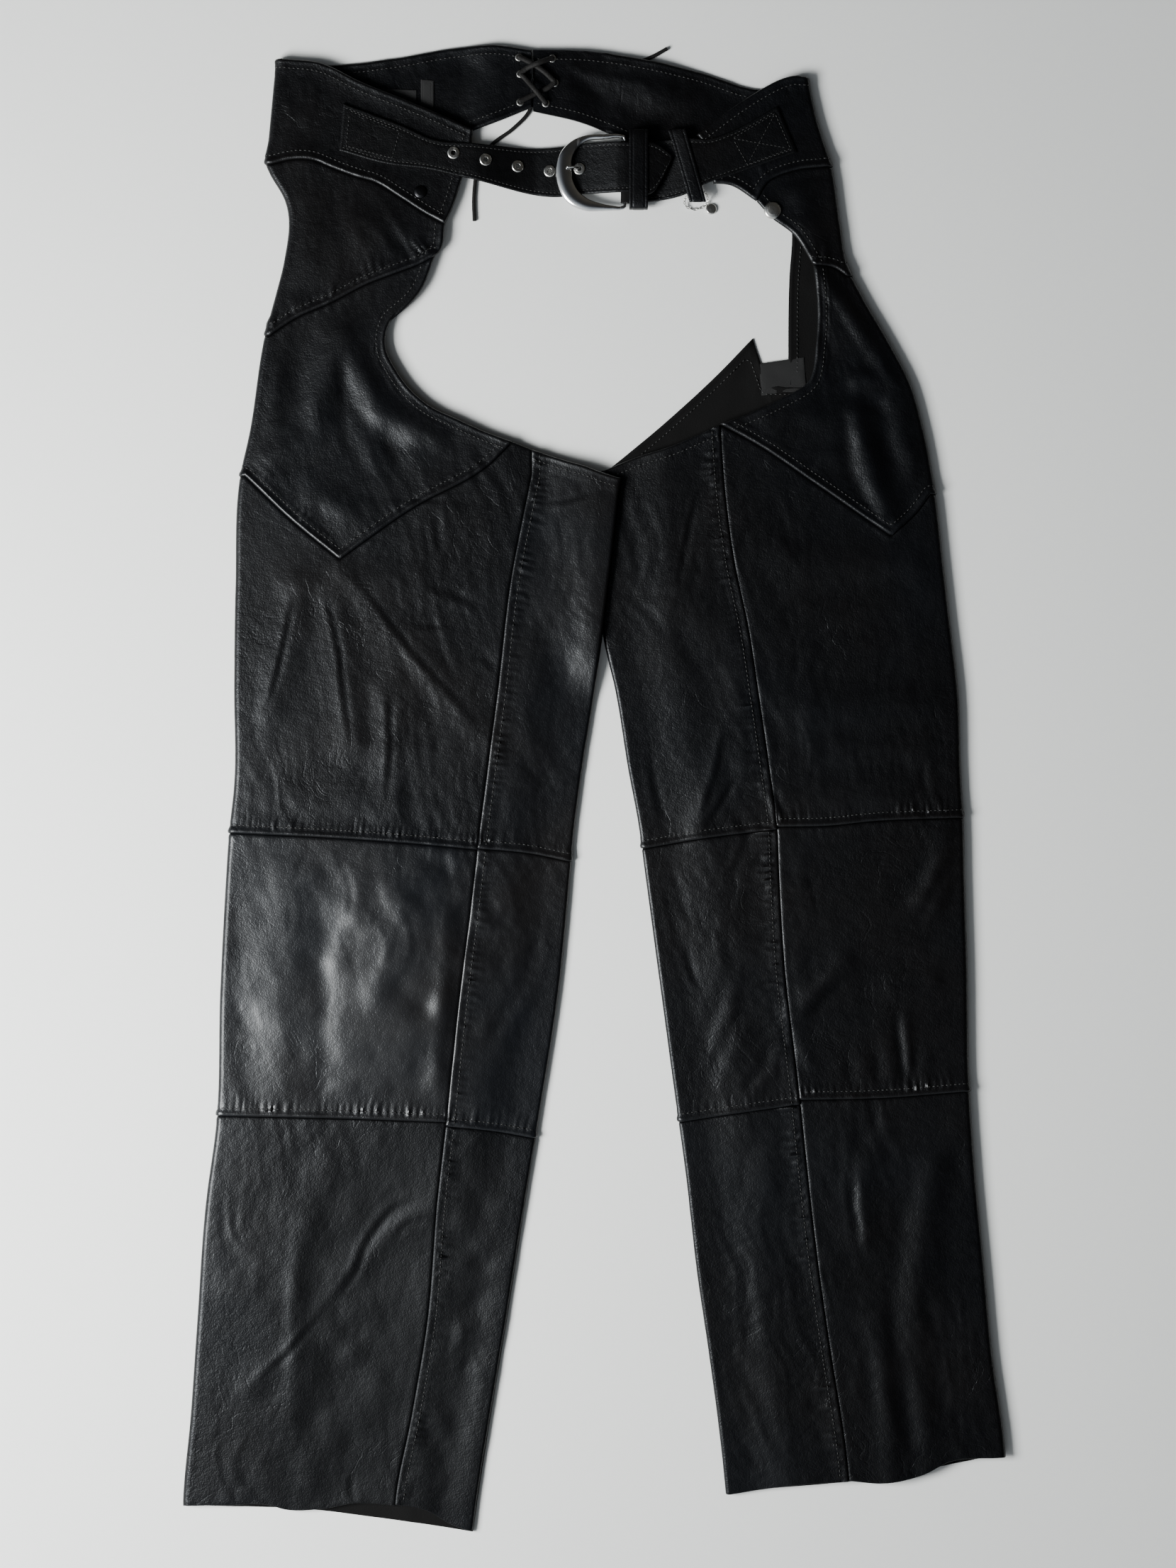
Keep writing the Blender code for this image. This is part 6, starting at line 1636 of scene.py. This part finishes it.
# %% [markdown]
# ## Turned metal
# Grommets, eyelets, snaps and the round drop are all turned: a profile of radius and height, carried
# round its axis. The grommets, eyelets and snaps sit on their leather, tilted as the leather is; the drop
# lies flat on the surface.


# %% Turned pieces
ROUNDINGS, PROFILE_STEPS = 5, 12


def seat_on(height, x, y, radius):
    """Where a round piece sits on a surface, and its axis: the plane that fits its rim, raised clear."""
    turn = np.radians(np.arange(0, 360, 30))
    rim_x, rim_y = x + radius * np.cos(turn), y + radius * np.sin(turn)
    rim = height(rim_x, rim_y)
    slope = np.array([rim @ np.cos(turn), rim @ np.sin(turn)]) * 2 / (len(turn) * radius)
    middle = float(height(np.array([float(x)]), np.array([float(y)]))[0])
    flat = middle + slope[0] * (rim_x - x) + slope[1] * (rim_y - y)
    clear = max(0.0, float(np.max(rim - flat)))
    return np.array([x, y, middle + clear + SEAT]), unit(np.array([-slope[0], -slope[1], 1.0]))


def turned_grid(profile, place, axis, steps):
    """The profile, softened at its corners, carried round the axis."""
    profile = np.array(profile, float)
    closed = profile[0][0] > 0
    if closed:
        profile = np.concatenate([profile, profile[:1]])
    dense = along(profile, np.linspace(0, 1, PROFILE_STEPS * len(profile) + 1))
    if closed:
        dense = dense[:-1]
    for _ in range(ROUNDINGS):
        if closed:
            dense = (np.roll(dense, 1, 0) + 2 * dense + np.roll(dense, -1, 0)) / 4
        else:
            dense[1:-1] = (dense[:-2] + 2 * dense[1:-1] + dense[2:]) / 4
    if not closed:
        dense[[0, -1], 0] = 0.02
    aside = unit(np.cross([0.0, 1.0, 0.0], axis))
    ahead = np.cross(axis, aside)
    turn = turns(steps)[None, :, None]
    r, z = dense[:, 0, None, None], dense[:, 1, None, None]
    return place + r * (np.cos(turn) * aside + np.sin(turn) * ahead) + z * axis, closed


def turned(name, node, profile, seat, finish, slot, steps):
    grid, closed = turned_grid(profile, *seat, steps)
    place_piece(name, closed_mesh(name, grid, finish, wrap_rows=closed), [node], slot)


GROMMET_PROFILE = ((1.9, 1.0), (4.1, 0.9), (4.75, 0.4), (4.75, 0.0), (2.3, 0.0), (2.3, -2.0), (1.9, -2.0))
EYELET_PROFILE = ((1.7, 0.8), (2.7, 0.75), (3.1, 0.3), (3.1, 0.0), (1.7, 0.0))
SNAP_PROFILE = ((0.0, 3.0), (3.4, 2.8), (5.6, 2.2), (6.7, 1.2), (6.7, 0.3), (6.0, 0.0), (0.0, 0.0))
DARK_SNAP_PROFILE = ((0.0, 1.9), (2.8, 1.7), (4.6, 1.1), (5.0, 0.4), (5.0, 0.0), (0.0, 0.0))
CHARM_PROFILE = ((0.0, 2.6), (3.6, 2.4), (4.3, 1.7), (4.3, 0.9), (3.6, 0.3), (0.0, 0.3))
EYELETS = ((-59, 572), (-58, 559), (-58, 537), (-33, 571), (-31, 552), (-38, 536))


def yoke_top(x, y):
    return yoke_height(x, y) + BAND_WALL + 0.2


nickel, black = (NICKEL, "nickel_plate"), (BLACK_METAL, "black_oxide_snap")
metal = []
for kind, places, profile, surface, steps in (("grommet", GROMMETS, GROMMET_PROFILE, strap_top, 32),
                                              ("eyelet", EYELETS, EYELET_PROFILE, yoke_top, 24)):
    metal += [(f"{kind}_ring_{number}", f"{kind}_{number}", profile, surface, x, y, nickel, steps)
              for number, (x, y) in enumerate(places, 1)]
metal += [("hip_snap_left", "snap_left", SNAP_PROFILE, LEFT.base, 139.0, 451.5, nickel, 48),
          ("hip_snap_right", "snap_right", DARK_SNAP_PROFILE, RIGHT.base, -136.0, 466.0, black, 40)]
for name, node, profile, surface, x, y, look, steps in metal:
    turned(name, node, profile, seat_on(surface, x, y, profile[3][0]), *look, steps)
print("turned metal placed")

# %% [markdown]
# ## The lacing
# The thong zigzags through the six eyelets in two runs, one over the other. Its loose ends, made
# above, lie on the surface and pass under the yoke.

# %% Lacing
LACINGS = {
    "lace_over": ((-33, 571, 8.5), (-44, 566, 11.9), (-54, 561.8, 8.9), (-57.4, 558.7, 8.5),
                  (-54.4, 555.3, 8.9), (-46, 545, 11.9), (-38, 536, 8.5)),
    "lace_under": ((-59, 572, 8.5), (-46, 565.2, 8.1), (-34.6, 556, 8.5), (-31.4, 552.2, 8.5),
                   (-34.6, 548.8, 8.5), (-46, 543.2, 8.1), (-58, 537, 8.5)),
}
LACING_THICKNESS, LACING_WIDTH, LACING_SIDES = 0.9, 1.55, 16  # the first two in the thong's radii
for name, points in LACINGS.items():
    grid = tube_grid(route(points, TUBE_STEPS), LACING_THICKNESS * LACE_RADIUS, LACING_SIDES,
                     wide=LACING_WIDTH)
    place_piece(f"{name}_thong", closed_mesh(f"{name}_thong", grid, THONG), [name], "leather_thong")

# %% [markdown]
# ## Chain and drop
# A short chain hangs from the end loop. Each link is a ring drawn out along the chain, and every
# second one is tipped the other way about it.

# %% Chain
CHAIN_ROUTE = ((86.0, 466.5, 8.6), (88.6, 463, 5.0), (88.2, 458.6, 2.0), (84, 455.6, 1.1), (77, 454.2, 1.0),
               (71.6, 456.8, 2.4), (70.6, 460, 5.4), (72.2, 462.6, 8.7))
LINK_PITCH = 2.6
LINK_LENGTH, LINK_WIDTH, LINK_WIRE = 3.7, 2.2, 0.34
LINK_STEPS, WIRE_STEPS = 16, 8
LINK_LOWEST = 1.15
LINK_TILTS = (62.0, -20.0)
chain_path = route(CHAIN_ROUTE, 200)
run = run_of(chain_path)
at = np.arange(LINK_PITCH / 2, run[-1], LINK_PITCH)
spots = at_run(chain_path, run, at)
spots[:, 2] = np.maximum(spots[:, 2], LINK_LOWEST)
forward = unit(at_run(chain_path, run, at + 1) - at_run(chain_path, run, at - 1))
aside = unit(np.cross([0, 0, 1.0], forward))
up = np.cross(forward, aside)
tip = np.radians(np.where(np.arange(len(at)) % 2, *LINK_TILTS))[:, None]
aside, up = aside * np.cos(tip) + up * np.sin(tip), up * np.cos(tip) - aside * np.sin(tip)
u = turns(LINK_STEPS)[:, None, None]
v = turns(WIRE_STEPS)[None, :, None]
points, faces = [], []
ring = np.arange(LINK_STEPS * WIRE_STEPS).reshape(LINK_STEPS, WIRE_STEPS)
quads = np.stack([ring, np.roll(ring, -1, 1), np.roll(ring, (-1, -1), (0, 1)), np.roll(ring, -1, 0)], -1)
for k, (spot, f, a, n) in enumerate(zip(spots, forward, aside, up)):
    reach_f = (LINK_LENGTH / 2 - LINK_WIRE) + LINK_WIRE * np.cos(v)
    reach_a = (LINK_WIDTH / 2 - LINK_WIRE) + LINK_WIRE * np.cos(v)
    link = spot + reach_f * np.cos(u) * f + reach_a * np.sin(u) * a + LINK_WIRE * np.sin(v) * n
    points.append(link.reshape(-1, 3))
    faces.append(quads.reshape(-1, 4)[:, ::-1] + k * ring.size)
data = mesh_of("chain_links", np.concatenate(points), np.concatenate(faces), (NICKEL,))
place_piece("chain_links", data, ["chain"], "nickel_plate")
charm_seat = np.array([91.5, 454.3, 0.0]), np.array([0, 0, 1.0])
turned("round_drop", "charm", CHARM_PROFILE, charm_seat, NICKEL, "nickel_plate", 40)
print("chain links:", len(at))

# %% [markdown]
# ## Labels
# Two woven labels are sewn inside the yoke and one at the seat edge of the left back. They are left
# plain.

# %% Labels
LABELS = {
    "label_size": (((-136, 555.5), (-126, 554.5)), ((-136, 534.5), (-126, 533.5)), True, TAPE,
                   (0.010, 0.021)),
    "label_patch": (((-182, 549), (-139.5, 547)), ((-182, 535), (-139.5, 533)), True, TAPE,
                    (0.0425, 0.014)),
    "label_care": (((129, 333), (164, 338)), ((131, 308), (166, 312)), False, CARE_TAPE,
                   (0.0355, 0.0255)),
}
TAPE_NET = (34, 26)
TAPE_WALL, TAPE_LIP, TAPE_PRESSED = 0.55, 0.3, 0.12
for name, (top, bottom, on_yoke, finish, flat) in LABELS.items():
    top, bottom = line(top, (), 1.0), line(bottom, (), 1.0)
    left, right = line([top[0], bottom[0]], (), 1.0), line([top[-1], bottom[-1]], (), 1.0)
    x, y = net(top, bottom, left, right, *(np.linspace(0, 1, count) for count in TAPE_NET))
    edge = np.min([away_from(e, x, y)[0] for e in (top, bottom, left, right)], axis=0)
    lift = (yoke_height(x, y) + BAND_WALL + 2 * SEAT) if on_yoke else LEATHER_WALL + SEAT + 0 * x
    soft = 0.25 * noise(x / 9.0, y / 9.0, 5) * ease(edge / 4.0) + 0.3
    low = np.stack([x, y, lift + soft * 0.7], -1)
    thick = TAPE_WALL - TAPE_LIP * (1 - ease(edge / 0.8))
    thick = thick - TAPE_PRESSED * bell((edge - 1.6) / 0.5)
    high = low + np.stack([0 * x, 0 * x, thick], -1)
    data = wall_mesh(f"{name}_tape", high, low, (finish,))
    place_piece(f"{name}_tape", data, [name], "woven_label")

# %% [markdown]
# ## Sewn lines on the belt
# The straps carry a row of stitches inside each edge, and the end of each is sewn down with a box; the
# box of the buckle strap is crossed.

# %% Belt stitches
BELT_STITCH = (3.2, 2.3, 0.32)  # pitch, length and radius
rows = []
for grid, near in (long_strap, short_strap):
    for edge in (0, 1):
        rows.append(stitches(*contour(grid, near, edge, BELT_INSET), 1.0, *BELT_STITCH))


def sewn_run(surface, points):
    """Stitches along a line of corners, on a surface given by its height."""
    x, y = line(points, tuple(range(1, len(points) - 1)), 1.0).T
    slope = np.stack([surface(x - 0.5, y) - surface(x + 0.5, y),
                      surface(x, y - 0.5) - surface(x, y + 0.5), 1 + 0 * x], -1)
    return stitches(np.stack([x, y, surface(x, y)], -1), unit(slope), 1.0, *BELT_STITCH, trim=(0.5, 0.5))


box = [(108, 507.5), (141, 527), (153, 499.5), (119.5, 487), (108, 507.5)]
for corners in (box, [box[0], box[2]], [box[1], box[3]]):
    rows.append(sewn_run(billet_top, corners))
rows.append(sewn_run(strap_top, [(-191, 529), (-152, 513), (-158, 492), (-193.5, 501.5), (-191, 529)]))
sewn_piece("stitches_belt", rows)

# %% [markdown]
# ## What the leather was cut to
# Each panel is a flat piece of leather before it is sewn and laid out. The sizes stated here are read
# off the finished net, with the folds let out, so they describe this model and weren't taken from a
# pattern. The labels' sizes come from their corner points.

# %% Cut sizes
def laid_out(panel):
    """Greatest width, greatest length and area of the outer side, in metres and square metres."""
    g = panel.outer * MM
    width = np.linalg.norm(np.diff(g, axis=1), axis=-1).sum(1)
    length = np.linalg.norm(np.diff(g, axis=0), axis=-1).sum(0)
    cells = np.cross(g[1:, 1:] - g[:-1, :-1], g[1:, :-1] - g[:-1, 1:])
    return float(width.max()), float(length.max()), float(np.linalg.norm(cells, axis=-1).sum() / 2)


for name, panel in panels.items():
    width, length, area = laid_out(panel)
    print("cut", name, round(width, 3), round(length, 3), round(area, 4))

# %% Finish
bpy.context.view_layer.update()
meshes = [o.data for o in bpy.data.objects if o.type == "MESH"]
print("triangles:", sum(len(p.vertices) - 2 for data in meshes for p in data.polygons))
